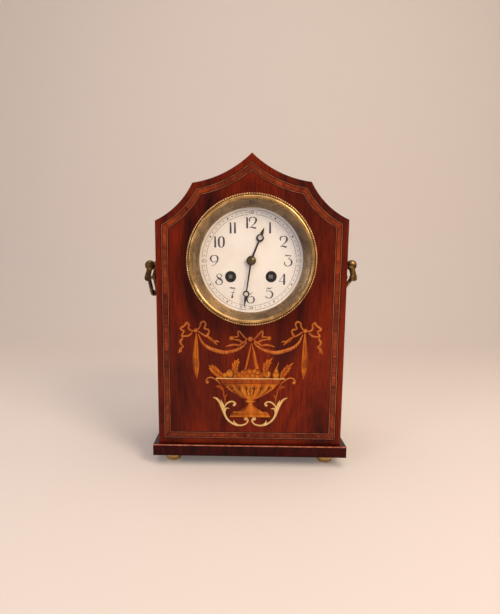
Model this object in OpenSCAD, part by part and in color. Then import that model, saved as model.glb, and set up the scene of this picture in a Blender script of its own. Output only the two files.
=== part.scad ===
// Lancet mantel clock: a small shaped mahogany case on brass bun feet, with a round
// eight-day striking movement behind a hinged bezel. Millimetres. +Z is up, the dial
// faces -Y, and the origin is on the ground under the middle of the clock.

/* [Case] */
// Width of the case body
body_w = 187; // [180:1:196]
// Height of the ground to the tip of the case top
apex_z = 309.5; // [306:0.5:316]
// Height of the upper pair of shoulders
upper_shoulder_z = 282.5; // [280:0.5:286]
// Distance of an upper shoulder from the middle
upper_shoulder_x = 56.8; // [54:0.2:60]
// Height of the lower pair of shoulders
lower_shoulder_z = 247.5; // [244:0.5:252]
// Radius of the hollow sweep beside the tip
upper_sweep_r = 102; // [85:1:140]
// Radius of the hollow sweep between the shoulders
lower_sweep_r = 76; // [60:1:100]
// Depth of the case body from front face to back face
body_d = 128; // [120:1:145]
// Thickness of the front board
front_t = 9; // [8:0.5:11]
// Thickness of the side boards
side_t = 8; // [6:0.5:10]
// Thickness of the shaped top
top_t = 6; // [5:0.5:8]
// Thickness of the back board
back_t = 8; // [6:0.5:10]
// Side of the square glue blocks inside the case corners
block_s = 10; // [8:0.5:12]

/* [Plinth and feet] */
// Thickness of the plinth
plinth_t = 11.5; // [9:0.5:15]
// How far the plinth stands out past the case on each side
plinth_out = 5.5; // [3:0.5:8]
// Height of a bun foot
foot_h = 11; // [9:0.5:14]
// Radius of a bun foot
foot_r = 8.75; // [7:0.25:10]
// Distance of a foot's middle in from the plinth's edges
foot_in = 19; // [14:0.5:26]
// Radius of the plug that fixes a foot in the plinth
foot_plug_r = 2.5; // [2:0.25:3.5]

/* [Inlay] */
// Depth of every inlay in the front board
inlay_t = 1; // [0.6:0.1:1.5]
// Width of a boxwood line
line_w = 0.9; // [0.6:0.05:1.2]
// Distance of the outer line from the case edge
outer_line_in = 6; // [5:0.25:8]
// Width of the crossbanding between the lines
band_w = 4.6; // [4:0.2:6]

/* [Bezel] */
// Height of the dial's middle above the ground
dial_z = 209; // [206:0.5:213]
// Radius of the bezel over its beads
bezel_r = 61.7; // [60.7:0.1:63]
// How far the bezel stands out from the case
bezel_proud = 20.5; // [19.5:0.25:24]
// Radius of the round hole in the front board
front_hole_r = 52; // [51.8:0.1:53]
// Thickness of the brass flange on the case
flange_t = 1.5; // [1.2:0.1:2]
// Outer radius of the fixed drum under the door
drum_r = 58.9; // [58.7:0.05:59.2]
// Wall of the fixed drum
drum_wall = 1.1; // [0.9:0.05:1.3]
// Front of the fixed drum
drum_front = 11.6; // [10.5:0.1:12]
// Radius of the beaded edge round the bezel
bead_r = 0.8; // [0.6:0.05:0.95]
// Radius of the glass
glass_r = 57.6; // [57:0.1:58]
// Thickness of the glass
glass_t = 2; // [1.6:0.1:2.6]
// Radius of the bezel hinge knuckles
bezel_knuckle_r = 1.3; // [1.2:0.05:1.35]
// Radius of the bezel hinge pin
bezel_pin_r = 0.55; // [0.5:0.01:0.6]

/* [Dial and hands] */
// Radius of the dial that shows
dial_r = 50; // [49.5:0.1:50.6]
// How far the dial runs under the sight ring
dial_under = 1.3; // [1:0.1:1.4]
// Thickness of the enamelled dial
dial_t = 1.8; // [1.4:0.1:2.2]
// Radius of the dial's winding holes
winding_hole_r = 5.5; // [5:0.1:6]
// Radius of the dial's middle hole
hand_hole_r = 3.6; // [3.2:0.1:4.2]
// Length of the minute hand from middle to tip
minute_hand_l = 45.5; // [40:0.5:46.5]
// Length of the hour hand from middle to tip
hour_hand_l = 33; // [28:0.5:36]
// Angle of the minute hand, clockwise from twelve
minute_angle = 188; // [0:1:359]
// Angle of the hour hand, clockwise from twelve
hour_angle = 21.4; // [0:0.2:359]
// Thickness of a hand
hand_t = 0.5; // [0.4:0.05:0.6]

/* [Movement] */
// Radius of the round movement plates
plate_r = 47.5; // [46.8:0.1:47.6]
// Thickness of a movement plate
plate_t = 2.2; // [1.8:0.1:2.6]
// Clear distance between the plates
plate_gap = 35; // [34.6:0.1:38]
// Distance of the front plate behind the case face
plate_set = 8; // [7.6:0.1:9]
// Distance of a winding square from the middle line
winding_x = 19.65; // [19.5:0.05:19.9]
// Distance of the winding squares below the dial's middle
winding_drop = 15.3; // [15.2:0.05:15.6]
// Radius of a winding arbor
winding_arbor_r = 2.4; // [2:0.1:2.6]
// Side of a winding square
winding_square = 3.4; // [3:0.1:3.6]
// Radius of the thin pivots in the plates
pivot_r = 0.45; // [0.4:0.01:0.5]
// Clearance of a pivot in its hole
pivot_gap = 0.04; // [0.02:0.01:0.08]
// Radius of a stout arbor between its pivots
arbor_r = 1.1; // [1:0.05:1.2]
// Radius of the thin arbors that carry seven-leaf pinions
thin_arbor_r = 0.6; // [0.54:0.02:0.62]
// Radius of a pillar
pillar_r = 3; // [2.6:0.1:3.2]

/* [Pendulum and gong] */
// Distance from the suspension to the middle of the bob
pendulum_l = 151; // [140:1:156]
// Radius of the bob
bob_r = 15; // [12:0.5:17]
// Thickness of the bob
bob_t = 7; // [5:0.5:9]
// Outer radius of the coiled gong
gong_r = 38; // [32:0.5:42]
// Side of the square gong wire
gong_wire = 2.4; // [1.8:0.1:2.8]
// Height of the gong's middle
gong_z = 88; // [80:1:96]
// How far the gong stands off the back board
gong_stand = 36; // [30:1:42]

/* [Rear door] */
// Radius of the rear opening
rear_hole_r = 50.5; // [50:0.5:52]
// Width of the rear brass ring outside the opening
rear_ring_w = 8; // [6:0.5:10]
// Thickness of the rear ring
rear_ring_t = 1.6; // [1.2:0.1:2]

/* [Handles] */
// Distance of a handle bracket from the middle of the handle
handle_half = 23; // [20:0.5:28]
// How far the bail pivots stand out from the case side
bail_out = 15; // [14:0.25:17]
// Height of the bracket heads above the dial's middle
head_above = -4; // [-6:0.5:8]
// Height of the bail pivots above the dial's middle
bail_above = -17; // [-20:0.5:-14]
// Drop of a bail from its pivots to its grip
bail_drop = 17.5; // [15:0.25:19]
// Radius of the bail's bar
bail_r = 1.7; // [1.4:0.1:1.9]
// Radius of the swelling in the grip
grip_r = 2.9; // [2.2:0.1:3.1]
// Lean of the left bail towards the case at rest
left_lean = 12; // [0:1:38]
// Lean of the right bail towards the case at rest
right_lean = 36; // [0:1:38]

/* [Hidden] */

// Curved faces
fine = 96;
small = 32;
// Gap between two parts that move past each other
run = 0.3;
// Gap of a pin or shaft in its hole
fit = 0.05;

// Heights and depths of the case
plinth_z = foot_h;
base_z = foot_h + plinth_t;
rear_knob_out = 6;
total_d = bezel_proud + body_d + rear_knob_out;
face_y = bezel_proud - total_d / 2;
back_y = face_y + body_d;
half_w = body_w / 2;

// Centre of an arc of radius r through p and q, on the left of the way from p to q
function arc_middle(p, q, r) =
    let(d = q - p, c = norm(d), h = sqrt(r * r - c * c / 4))
    (p + q) / 2 + h / c * [-d[1], d[0]];
// Where two circles cross, on the left of the way from a to b
function circles_cross(a, ra, b, rb) =
    let(d = b - a, c = norm(d), t = (c * c + ra * ra - rb * rb) / (2 * c))
    a + t / c * d + sqrt(ra * ra - t * t) / c * [-d[1], d[0]];
function heading(p) = atan2(p[1], p[0]);
function ring_point(r, ang) = [r * cos(ang), r * sin(ang)];
// Points of an arc about m from p to q, without its last point
function arc_points(m, p, q, n) =
    let(r = norm(p - m), a = heading(p - m), b = heading(q - m))
    [for (i = [0:n - 1]) m + ring_point(r, a + (b - a) * i / n)];

// The case outline, looked at from the front: straight sides and two hollow sweeps a side
lower_shoulder = [half_w, lower_shoulder_z];
upper_shoulder = [upper_shoulder_x, upper_shoulder_z];
tip = [0, apex_z];
lower_middle = arc_middle(upper_shoulder, lower_shoulder, lower_sweep_r);
upper_middle = arc_middle(tip, upper_shoulder, upper_sweep_r);
sweep_steps = 14;
// Right half of the outline, set in by d from the real one, from the bottom to the tip
function half_outline(d, bottom) =
    let(
        rl = lower_sweep_r + d,
        ru = upper_sweep_r + d,
        sx = half_w - d,
        low = [sx, lower_middle[1] - sqrt(rl * rl - pow(sx - lower_middle[0], 2))],
        mid = circles_cross(lower_middle, rl, upper_middle, ru),
        top = [0, upper_middle[1] - sqrt(ru * ru - pow(upper_middle[0], 2))]
    )
    concat(
        [[sx, bottom]],
        arc_points(lower_middle, low, mid, sweep_steps),
        arc_points(upper_middle, mid, top, sweep_steps),
        [top]
    );
function mirrored(pts) = [for (i = [len(pts) - 2:-1:0]) [-pts[i][0], pts[i][1]]];
function outline(d, bottom) =
    let(half = half_outline(d, bottom)) concat(half, mirrored(half));

// Insets of the two lines and the band between them
line_1 = outer_line_in;
band_1 = line_1 + line_w;
band_2 = band_1 + band_w;
line_2 = band_2 + line_w;

// Handles
side_top_z = lower_shoulder_z - top_t;
handle_y = face_y + body_d / 2;
head_z = dial_z + head_above;
bail_z = dial_z + bail_above;
bail_pin_r = bail_r - 0.4;
eye_half = 3;
peg_r = 1.5;
peg_l = 5;

// Bezel depths, counted forward from the case face
dial_back = flange_t;
dial_front = dial_back + dial_t;
dial_edge_r = dial_r + dial_under;
sight_back = dial_front + 0.05;
door_back = drum_front + 0.5;
glass_back = bezel_proud - 6.1;
glass_front = glass_back + glass_t;
hinge_x = bezel_r - bezel_knuckle_r - 0.1;
hinge_a = 7.4;
regulator_r = dial_r + 3.6;
regulator_hole_r = 1.9;
knuckle_l = 5;

// Hands, counted forward from the case face
hour_a = dial_front + 2.1;
minute_a = hour_a + 2.1;
nut_front = minute_a + 2.6;

// Movement depths, counted forward from the case face
front_plate_a = -plate_set;
inside_a = front_plate_a - plate_t;
back_plate_a = inside_a - plate_gap - plate_t;

// Arbor places on the plates, from the dial's middle, as a watchmaker plants a train:
// each arbor lies at the sum of the pitch radii from the one that drives it
great_teeth = 84;
great_module = 0.45;
second_teeth = 72;
second_module = 0.35;
pinion_leaves = 12;
small_leaves = 7;
centre_teeth = 84;
third_teeth = 77;
escape_teeth = 35;
pin_teeth = 70;
locking_teeth = 56;
function spacing(a, b, m) = (a + b) * m / 2;
function onward(p, d, ang) = p + ring_point(d, ang);
going_winding_at = [winding_x, -winding_drop];
strike_winding_at = [-winding_x, -winding_drop];
great_step = spacing(great_teeth, pinion_leaves, great_module);
second_step = spacing(second_teeth, pinion_leaves, second_module);
centre_at = [0, 0];
going_second_at = circles_cross(centre_at, second_step, going_winding_at, great_step);
centre_step = 14.4;
third_step = 11.9;
escape_at = [0, 24];
third_at = circles_cross(centre_at, centre_step, escape_at, third_step);
centre_module = 2 * centre_step / (centre_teeth + small_leaves);
third_module = 2 * third_step / (third_teeth + small_leaves);
escape_r = 7;
pallet_at = escape_at + [0, 9.6];
strike_second_at = onward(strike_winding_at, great_step, 107);
pin_at = onward(strike_second_at, second_step, 74);
pin_step = 12.2;
locking_step = 9.45;
locking_at = onward(pin_at, pin_step, 35);
pin_module = 2 * pin_step / (pin_teeth + small_leaves);
fly_at = onward(locking_at, locking_step, 141);
locking_module = 2 * locking_step / (locking_teeth + small_leaves);
hammer_at = [-41.5, 4];
motion_module = 0.4;
cannon_teeth = 15;
minute_teeth = 45;
minute_leaves = 12;
hour_teeth = 48;
motion_step = spacing(cannon_teeth, minute_teeth, motion_module);
minute_wheel_at = onward(centre_at, motion_step, 270);
click_teeth = 20;
ratchet_r = 6.4;
click_at = [8.6, 5.2];
pillar_at = [[34, 24], [-36, 23], [22.5, -38], [-22.5, -38]];
strap_x = plate_r + 1.2;
strap_w = 12;
strap_t = 1.9;
strap_end_a = back_plate_a - 14;
strap_foot_in = 7;
pendulum_a = back_plate_a - 12;
barrel_r = 17.5;
barrel_front_w = 4.5;
barrel_back_w = 27;
great_wheel_t = 2.3;
great_w = barrel_back_w;
second_w = great_w + great_wheel_t + 0.5;
third_w = 14;
escape_w = 26;
pin_w = 20;
pin_ring_r = pin_teeth * pin_module / 2 - 2.65 * pin_module;
// Turn of the pin ring at rest: the hammer's tail then swings between two pins
pin_phase = 10;
locking_w = 8;
fly_w = 11;
fly_l = 7;
fly_r = 4.6;
back_arbor_r = 1.8;
centre_pipe_r = 0.95;
cannon_pipe_r = 1.5;
hour_pipe_r = 2.3;
hour_bush_r = 3.6;
minute_bush_r = 2.8;
stud_r = 0.9;
click_stud_r = 0.8;
dial_foot_r = 1;
dial_foot_at = 44;
winding_end_a = dial_back + 1;
screw_r = 1.35;
screw_head_r = 2.2;
cock_front_a = back_plate_a - 4.4;
pendulum_rod_r = 0.9;
hammer_head_r = 3.6;
hammer_head_l = 9;
gong_boss_r = 6;
regulator_pin_r = 0.8;
rear_inner_r = 41.5;
rear_door_r = 44.2;
strap_lug = 6;
strap_screw_x = strap_x + strap_t - strap_lug / 2;
rear_knuckle_r = 1.3;
rear_knuckle_l = 2.2;
rear_pin_r = 0.6;
rear_hinge_x = rear_door_r + rear_knuckle_r + 0.5;
rear_hinge_a = -body_d - rear_ring_t - rear_knuckle_r - 0.15;
knob_end = rear_knob_out - rear_ring_t - 1.85;
bob_at = pallet_at - [0, pendulum_l];
gong_at = [0, gong_z - dial_z];
gong_a = -body_d + back_t + gong_stand;

// Shapes that several parts share
module at_dial(a = 0) {
    translate([0, face_y - a, dial_z])
        rotate([90, 0, 0])
            children();
}
// Stands a flat shape up, from y to y + t
module upright(y, t) {
    translate([0, y + t, 0])
        rotate([90, 0, 0])
            linear_extrude(t)
                children();
}
module panel(y, t, pts) {
    upright(y, t)
        polygon(pts);
}
module disc(r, t) {
    cylinder(r = r, h = t, $fn = fine);
}
module rod(at, r, a0, a1) {
    translate([at[0], at[1], a0])
        cylinder(r = r, h = a1 - a0, $fn = small);
}
module tube(r, hole, t) {
    difference() {
        cylinder(r = r, h = t, $fn = fine);
        translate([0, 0, -1])
            cylinder(r = hole, h = t + 2, $fn = fine);
    }
}
// Teeth of a wheel: straight flanks that narrow from the root to the tip
function wheel_outline(n, m, phase) =
    let(rp = n * m / 2, step = 360 / n)
    [for (i = [0:n - 1]) for (k = [[-0.33, -1.15], [-0.1, 0.8], [0.1, 0.8], [0.33, -1.15]])
        ring_point(rp + k[1] * m, phase + step * (i + k[0]))];
// Leaves of a pinion: narrower than the gaps that they run in, with rounded-off tips
function pinion_outline(n, m, phase) =
    let(rp = n * m / 2, step = 360 / n)
    [for (i = [0:n - 1])
        for (k = [[-0.17, -1.2], [-0.17, 0], [-0.06, 0.6], [0.06, 0.6], [0.17, 0], [0.17, -1.2]])
            ring_point(rp + k[1] * m, phase + step * (i + k[0]))];
// A crossed-out train wheel on its side, with a hole for its arbor
module crossed_wheel(n, m, t, hole, phase, spokes = 5) {
    rim = n * m / 2 - 2.6 * m - 0.5;
    hub = hole + 1.5;
    linear_extrude(t) {
        difference() {
            polygon(wheel_outline(n, m, phase));
            circle(r = hole, $fn = small);
            difference() {
                circle(r = rim, $fn = fine);
                circle(r = hub, $fn = small);
                for (i = [0:spokes - 1])
                    rotate(i * 360 / spokes)
                        translate([0, -0.55])
                            square([rim + 1, 1.1]);
            }
        }
    }
}
module pinion(n, m, t, phase) {
    linear_extrude(t)
        polygon(pinion_outline(n, m, phase));
}
// An arbor with a thin pivot at each end, running in the two plates
module arbor(r = arbor_r, front = inside_a, back = inside_a - plate_gap) {
    shoulder = 0.25;
    translate([0, 0, back + shoulder])
        cylinder(r = r, h = front - back - 2 * shoulder, $fn = small);
    translate([0, 0, back - plate_t + 0.2])
        cylinder(r = pivot_r, h = front - back + 2 * plate_t - 0.4, $fn = small);
}
// Angle of the line between two arbors
function line_of(a, b) = heading(b - a);

// Carcass

module plinth() {
    color("maroon")
        translate([-half_w - plinth_out, face_y - plinth_out, plinth_z])
            difference() {
                cube([body_w + 2 * plinth_out, body_d + plinth_out, plinth_t]);
                for (x = [foot_in, body_w + 2 * plinth_out - foot_in])
                    for (y = [foot_in, body_d + plinth_out - foot_in])
                        translate([x, y, -1])
                            cylinder(r = foot_plug_r + fit, h = 1 + plinth_t * 0.6, $fn = small);
                // Grooves for the boxwood lines along the top and bottom front edges
                for (z = [-1, plinth_t - line_w])
                    translate([-1, -1, z])
                        cube([body_w + 2 * plinth_out + 2, 1 + inlay_t, line_w + 1]);
            }
}
module plinth_stringing() {
    color("burlywood")
        for (z = [plinth_z, plinth_z + plinth_t - line_w])
            translate([-half_w - plinth_out, face_y - plinth_out, z])
                cube([body_w + 2 * plinth_out, inlay_t, line_w]);
}
// A turned brass bun with a flat underneath and a plug that enters the plinth
module bun_foot() {
    rise = foot_h / 2;
    rotate_extrude($fn = fine)
        union() {
            intersection() {
                translate([foot_r - rise, rise])
                    circle(r = rise, $fn = fine);
                square([foot_r, foot_h]);
            }
            square([foot_r - rise, foot_h]);
            square([foot_plug_r, foot_h + plinth_t * 0.55]);
        }
}
module bun_feet() {
    color("goldenrod")
        for (x = [-1, 1])
            for (y = [face_y - plinth_out + foot_in, back_y - foot_in])
                translate([x * (half_w + plinth_out - foot_in), y, 0])
                    bun_foot();
}
// A band of the front board between two insets of its outline
module inset_band(outer, inner) {
    difference() {
        polygon(outline(outer, base_z + outer));
        polygon(outline(inner, base_z + inner));
    }
}
module case_front() {
    color("brown")
        difference() {
            panel(face_y, front_t, outline(0, base_z));
            upright(face_y - 1, inlay_t + 1)
                inset_band(line_1, line_2);
            at_dial(-front_t - 1)
                disc(front_hole_r, front_t + 2);
            // Notch above the hole for the regulating arbor
            at_dial(-front_t - 1)
                translate([-1.3, front_hole_r - 2, 0])
                    cube([2.6, regulator_r + 1.3 - front_hole_r + 2, front_t + 2]);
        }
}
module front_banding() {
    color("sienna")
        upright(face_y, inlay_t)
            inset_band(band_1, band_2);
}
module front_stringing() {
    color("burlywood")
        upright(face_y, inlay_t) {
            inset_band(line_1, band_1);
            inset_band(band_2, line_2);
        }
}
// A side board, with two holes for the pegs of the handle brackets
module case_side(s) {
    color("brown")
        difference() {
            translate([s > 0 ? half_w - side_t : -half_w, face_y + front_t, base_z])
                cube([side_t, body_d - front_t - back_t, side_top_z - base_z]);
            for (k = [-1, 1])
                translate([s * half_w, handle_y + k * handle_half, head_z])
                    rotate([0, -90 * s, 0])
                        translate([0, 0, -1])
                            cylinder(r = peg_r + fit, h = peg_l + 1.5, $fn = small);
        }
}
module case_left_side() {
    case_side(-1);
}
module case_right_side() {
    case_side(1);
}
// The shaped top is a bent shell that follows both sweeps and stands on the side boards
module case_top() {
    color("brown")
        upright(face_y + front_t, body_d - front_t - back_t)
            difference() {
                polygon(outline(0, side_top_z));
                polygon(outline(top_t, side_top_z - 1));
            }
}
module case_back() {
    color("saddlebrown")
        difference() {
            panel(back_y - back_t, back_t, outline(0, base_z));
            at_dial(-body_d - 1)
                disc(rear_hole_r, back_t + 2);
        }
}
// Pine blocks glued into the corners between the boards
module glue_blocks() {
    inside_x = half_w - side_t;
    top_z = side_top_z - 2 * block_s;
    color("tan")
        for (x = [-inside_x, inside_x - block_s])
            for (y = [face_y + front_t, back_y - back_t - block_s])
                translate([x, y, base_z])
                    cube([block_s, block_s, top_z - base_z]);
}

// Carrying handles

// One cast bracket: a peg and a rose on the case side, a stem, a round head, and a neck
// that runs down and out to the eye of the bail
module bracket() {
    head_out = bail_out - 2.6;
    drop = head_z - bail_z;
    translate([-peg_l, 0, 0])
        rotate([0, 90, 0])
            cylinder(r = peg_r, h = peg_l + 1, $fn = small);
    rotate([0, 90, 0])
        rotate_extrude($fn = fine)
            union() {
                square([5, 1]);
                square([4, 1.8]);
                square([1.9, head_out]);
            }
    translate([head_out, 0, 0])
        rotate([90, 0, 0])
            rotate_extrude($fn = fine)
                intersection() {
                    square([4.7, 3.6]);
                    translate([0, -4.4])
                        circle(r = 7.9, $fn = fine);
                }
    translate([head_out, 0, 0])
        rotate([-90, 0, 0])
            rotate_extrude($fn = fine)
                intersection() {
                    square([4.7, 3.6]);
                    translate([0, -4.4])
                        circle(r = 7.9, $fn = fine);
                }
    difference() {
        union() {
            translate([0, 1.8, 0])
                rotate([90, 0, 0])
                    linear_extrude(3.6)
                        neck(head_out, drop);
            translate([bail_out, eye_half, -drop])
                rotate([90, 0, 0])
                    cylinder(r = 3.1, h = 2 * eye_half, $fn = small);
        }
        translate([bail_out, eye_half + 1, -drop])
            rotate([90, 0, 0])
                cylinder(r = bail_pin_r + fit, h = 2 * eye_half + 2, $fn = small);
    }
}
// The neck in side view: a tapered bar that swells towards the eye
module neck(head_out, drop) {
    polygon([[head_out - 2.2, -1], [head_out + 2.2, -1], [bail_out + 2.3, -drop + 2.4],
        [bail_out + 2.4, -drop], [bail_out - 2.4, -drop], [bail_out - 2.2, -drop + 2.4]]);
}
module handle_brackets() {
    color("goldenrod")
        for (s = [0, 1])
            for (k = [-1, 1])
                mirror([s, 0, 0])
                    translate([half_w, handle_y + k * handle_half, head_z])
                        bracket();
}
// A bail: two arms that hang from their pivots and a grip that swells in the middle
module bail() {
    boss_r = bail_r + 0.3;
    arm_y = handle_half - eye_half - run - boss_r;
    bend = 4;
    long = arm_y - bend;
    for (k = [-1, 1]) {
        rotate([k * 90, 0, 0])
            translate([0, 0, -arm_y - boss_r - run - 2 * eye_half + 0.6])
                cylinder(r = bail_pin_r, h = 2 * eye_half + run + boss_r, $fn = small);
        translate([0, k * arm_y, 0])
            sphere(r = boss_r, $fn = small);
        translate([0, k * arm_y, -bail_drop + bend - 0.3])
            cylinder(r = bail_r - 0.12, h = bail_drop - bend + 0.3, $fn = small);
        // Collar where the bend meets the grip
        translate([0, k * long + 0.7, -bail_drop])
            rotate([90, 0, 0])
                cylinder(r = bail_r + 0.45, h = 1.4, $fn = small);
        translate([0, k * long, -bail_drop + bend])
            rotate([0, 90, 0])
                rotate([0, 0, k > 0 ? 0 : -90])
                    rotate_extrude(angle = 90, $fn = fine)
                        translate([bend, 0])
                            circle(r = bail_r, $fn = small);
    }
    bow = (long * long - pow(grip_r - bail_r, 2)) / (2 * (grip_r - bail_r));
    translate([0, 0, -bail_drop])
        rotate([90, 0, 0])
            rotate_extrude($fn = fine)
                intersection() {
                    translate([0, -long])
                        square([grip_r + 1, 2 * long]);
                    translate([grip_r - bow - (grip_r - bail_r), 0])
                        circle(r = bow + grip_r - bail_r, $fn = fine * 8);
                }
}
module left_bail() {
    color("goldenrod")
        translate([-half_w - bail_out, handle_y, bail_z])
            rotate([0, -left_lean, 0])
                bail();
}
module right_bail() {
    color("goldenrod")
        translate([half_w + bail_out, handle_y, bail_z])
            rotate([0, right_lean, 0])
                bail();
}

// Bezel

// The fixed brass frame: a flange on the case face, a spigot in the hole and a drum
// that the sight ring and the door sit on, with the middle knuckle of the hinge
module bezel_frame() {
    spigot_r = front_hole_r - 0.2;
    color("darkgoldenrod")
        difference() {
            union() {
                at_dial(0)
                    tube(drum_r + 1.6, dial_r - 1, flange_t);
                at_dial(-3)
                    tube(spigot_r, spigot_r - 0.7, 3.2);
                at_dial(flange_t - 0.2)
                    tube(drum_r, drum_r - drum_wall, drum_front - flange_t + 0.2);
                at_dial(hinge_a)
                    knuckle(-knuckle_l / 2, knuckle_l, drum_r - 0.6);
            }
            at_dial(hinge_a)
                translate([hinge_x, 2 * knuckle_l, 0])
                    rotate([90, 0, 0])
                        cylinder(r = bezel_pin_r + fit, h = 4 * knuckle_l, $fn = small);
            at_dial(-1)
                translate([0, regulator_r, 0])
                    cylinder(r = regulator_pin_r + fit, h = flange_t + 2, $fn = small);
        }
}
// A hinge knuckle along the dial's upright, with a web that runs in to a drum or skirt
module knuckle(y, l, web_from) {
    translate([hinge_x, y + l, 0])
        rotate([90, 0, 0])
            cylinder(r = bezel_knuckle_r, h = l, $fn = small);
    translate([web_from, y, -0.6])
        cube([hinge_x - web_from, l, 1.2]);
}
// The spun sight ring: it slopes from the drum's mouth down to the dial, with a step
module sight_ring() {
    seat_r = drum_r - drum_wall - 0.05;
    top = drum_front - 0.2;
    wall = 0.9;
    step_r = dial_r + 1.6;
    step_a = sight_back + 2.2;
    color("gold")
        difference() {
            at_dial(0)
                rotate_extrude($fn = fine)
                    polygon([[dial_r, sight_back], [dial_r + 0.5, sight_back],
                        [step_r + wall, step_a - 0.6], [step_r + wall + 0.6, step_a - 0.6],
                        [seat_r - 0.4, top - wall], [seat_r, top - wall],
                        [seat_r, top], [seat_r - 0.8, top], [step_r + 0.7, step_a + 0.3],
                        [step_r, step_a + 0.3], [dial_r, sight_back + 0.7]]);
            at_dial(0)
                translate([0, regulator_r, 0])
                    cylinder(r = regulator_hole_r, h = bezel_proud, $fn = small);
        }
}
// The hinged door ring: a round outer bead, a skirt round the drum and a rebate for glass
module bezel_door() {
    lip_r = glass_r - 1.5;
    skirt_in = drum_r + 0.35;
    skirt_out = skirt_in + 0.8;
    bead_a = bezel_proud - 2.6;
    round_r = 2.5;
    round_at = bezel_r - 2 * bead_r - round_r + 0.6;
    color("gold")
        difference() {
            union() {
                at_dial(0)
                    rotate_extrude($fn = fine)
                        union() {
                            translate([round_at, bezel_proud - round_r])
                                circle(r = round_r, $fn = fine);
                            translate([bezel_r - bead_r, bead_a])
                                circle(r = bead_r, $fn = small);
                            translate([lip_r, glass_front])
                                square([round_at - lip_r, bezel_proud - round_r - glass_front]);
                            translate([glass_r + 0.1, door_back])
                                square([bezel_r - bead_r - 0.1 - glass_r,
                                    bezel_proud - round_r - door_back]);
                            translate([skirt_in, door_back - 2.6])
                                square([skirt_out - skirt_in, 3]);
                        }
                for (y = [-1.5 * knuckle_l - 0.2, 0.5 * knuckle_l + 0.2])
                    at_dial(hinge_a)
                        door_knuckle(y);
            }
            // Rebate that the glass lies in
            at_dial(glass_back - 4)
                disc(glass_r + 0.1, glass_t + 4);
            at_dial(hinge_a)
                translate([hinge_x, 2 * knuckle_l, 0])
                    rotate([90, 0, 0])
                        cylinder(r = bezel_pin_r, h = 4 * knuckle_l, $fn = small);
            // Room in the skirt for the middle knuckle
            at_dial(hinge_a - 2)
                translate([drum_r - 1, -knuckle_l / 2 - 0.2, 0])
                    cube([4, knuckle_l + 0.4, door_back - hinge_a + 1.6]);
        }
}
module door_knuckle(y) {
    translate([hinge_x, y + knuckle_l, 0])
        rotate([90, 0, 0])
            cylinder(r = bezel_knuckle_r, h = knuckle_l, $fn = small);
    translate([hinge_x - 0.5, y, 0])
        cube([1, knuckle_l, door_back - hinge_a + 0.5]);
}
module bezel_glass() {
    color("azure", 0.3)
        at_dial(glass_back)
            disc(glass_r, glass_t);
}
module bezel_hinge_pin() {
    long = 3 * knuckle_l + 0.4;
    color("darkgoldenrod")
        at_dial(hinge_a)
            translate([hinge_x, long / 2, 0])
                rotate([90, 0, 0])
                    cylinder(r = bezel_pin_r, h = long, $fn = small);
}

// Dial and hands

// An enamelled copper dial, domed a little, with feet that pass into the front plate
module dial() {
    rise = 1.4;
    steps = 8;
    // The dome's height at radius r
    function dome(r) = dial_front - dial_t * 0.1 + rise * (1 - pow(r / dial_edge_r, 2));
    color("ivory")
        difference() {
            union() {
                at_dial(0)
                    rotate_extrude($fn = fine)
                        polygon(concat([[0, dial_back], [dial_edge_r, dial_back]],
                            [for (i = [0:steps]) let(r = dial_edge_r * (1 - i / steps)) [r, dome(r)]]));
                at_dial(0)
                    for (ang = [40, 160, 280])
                        rod(ring_point(dial_foot_at, ang), dial_foot_r,
                            front_plate_a - plate_t + 0.3, dial_back + 0.3);
            }
            at_dial(0) {
                rod([0, 0], hand_hole_r, dial_back - 1, dial_front + 3);
                rod(going_winding_at, winding_hole_r, dial_back - 1, dial_front + 3);
                rod(strike_winding_at, winding_hole_r, dial_back - 1, dial_front + 3);
            }
        }
}
// A pierced hand that points to twelve: tail, ring round the bush, tapering stem,
// a round moon with a hole near the tip, and a fine point
module hand(long, moon_at, moon_r, stem, bush_r, hole) {
    difference() {
        union() {
            cylinder(r = bush_r, h = hand_t, $fn = small);
            linear_extrude(hand_t)
                polygon([[-stem, 0], [stem, 0], [stem * 0.7, moon_at], [-stem * 0.7, moon_at]]);
            translate([0, moon_at, 0])
                cylinder(r = moon_r, h = hand_t, $fn = small);
            linear_extrude(hand_t)
                polygon([[-stem * 1.3, moon_at + moon_r * 0.8], [-stem * 1.5, moon_at + moon_r + 1.4],
                    [-0.22, long], [0.22, long], [stem * 1.5, moon_at + moon_r + 1.4],
                    [stem * 1.3, moon_at + moon_r * 0.8]]);
        }
        translate([0, moon_at + moon_r * 0.14, -1])
            cylinder(r = moon_r * 0.6, h = hand_t + 2, $fn = small);
        translate([0, 0, -1])
            cylinder(r = hole, h = hand_t + 2, $fn = small);
    }
}
module hour_hand() {
    color("midnightblue")
        at_dial(hour_a)
            rotate(-hour_angle)
                hand(hour_hand_l, hour_hand_l - 10.2, 3.7, 1.05, hour_bush_r, hour_pipe_r);
}
module minute_hand() {
    color("midnightblue")
        at_dial(minute_a)
            rotate(-minute_angle)
                hand(minute_hand_l, minute_hand_l - 13.6, 3.1, 0.9, minute_bush_r, cannon_pipe_r);
}
// The domed brass collet that holds the minute hand on its pipe
module hand_nut() {
    color("gold")
        at_dial(0)
            rotate_extrude($fn = fine)
                difference() {
                    intersection() {
                        translate([0, nut_front - 6.4])
                            circle(r = 6.4, $fn = fine);
                        translate([0, minute_a + hand_t])
                            square([4.6, nut_front]);
                    }
                    translate([-1, 0])
                        square([1 + cannon_pipe_r, minute_a + hand_t + 0.9]);
                }
}

// Motion work under the dial

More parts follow.
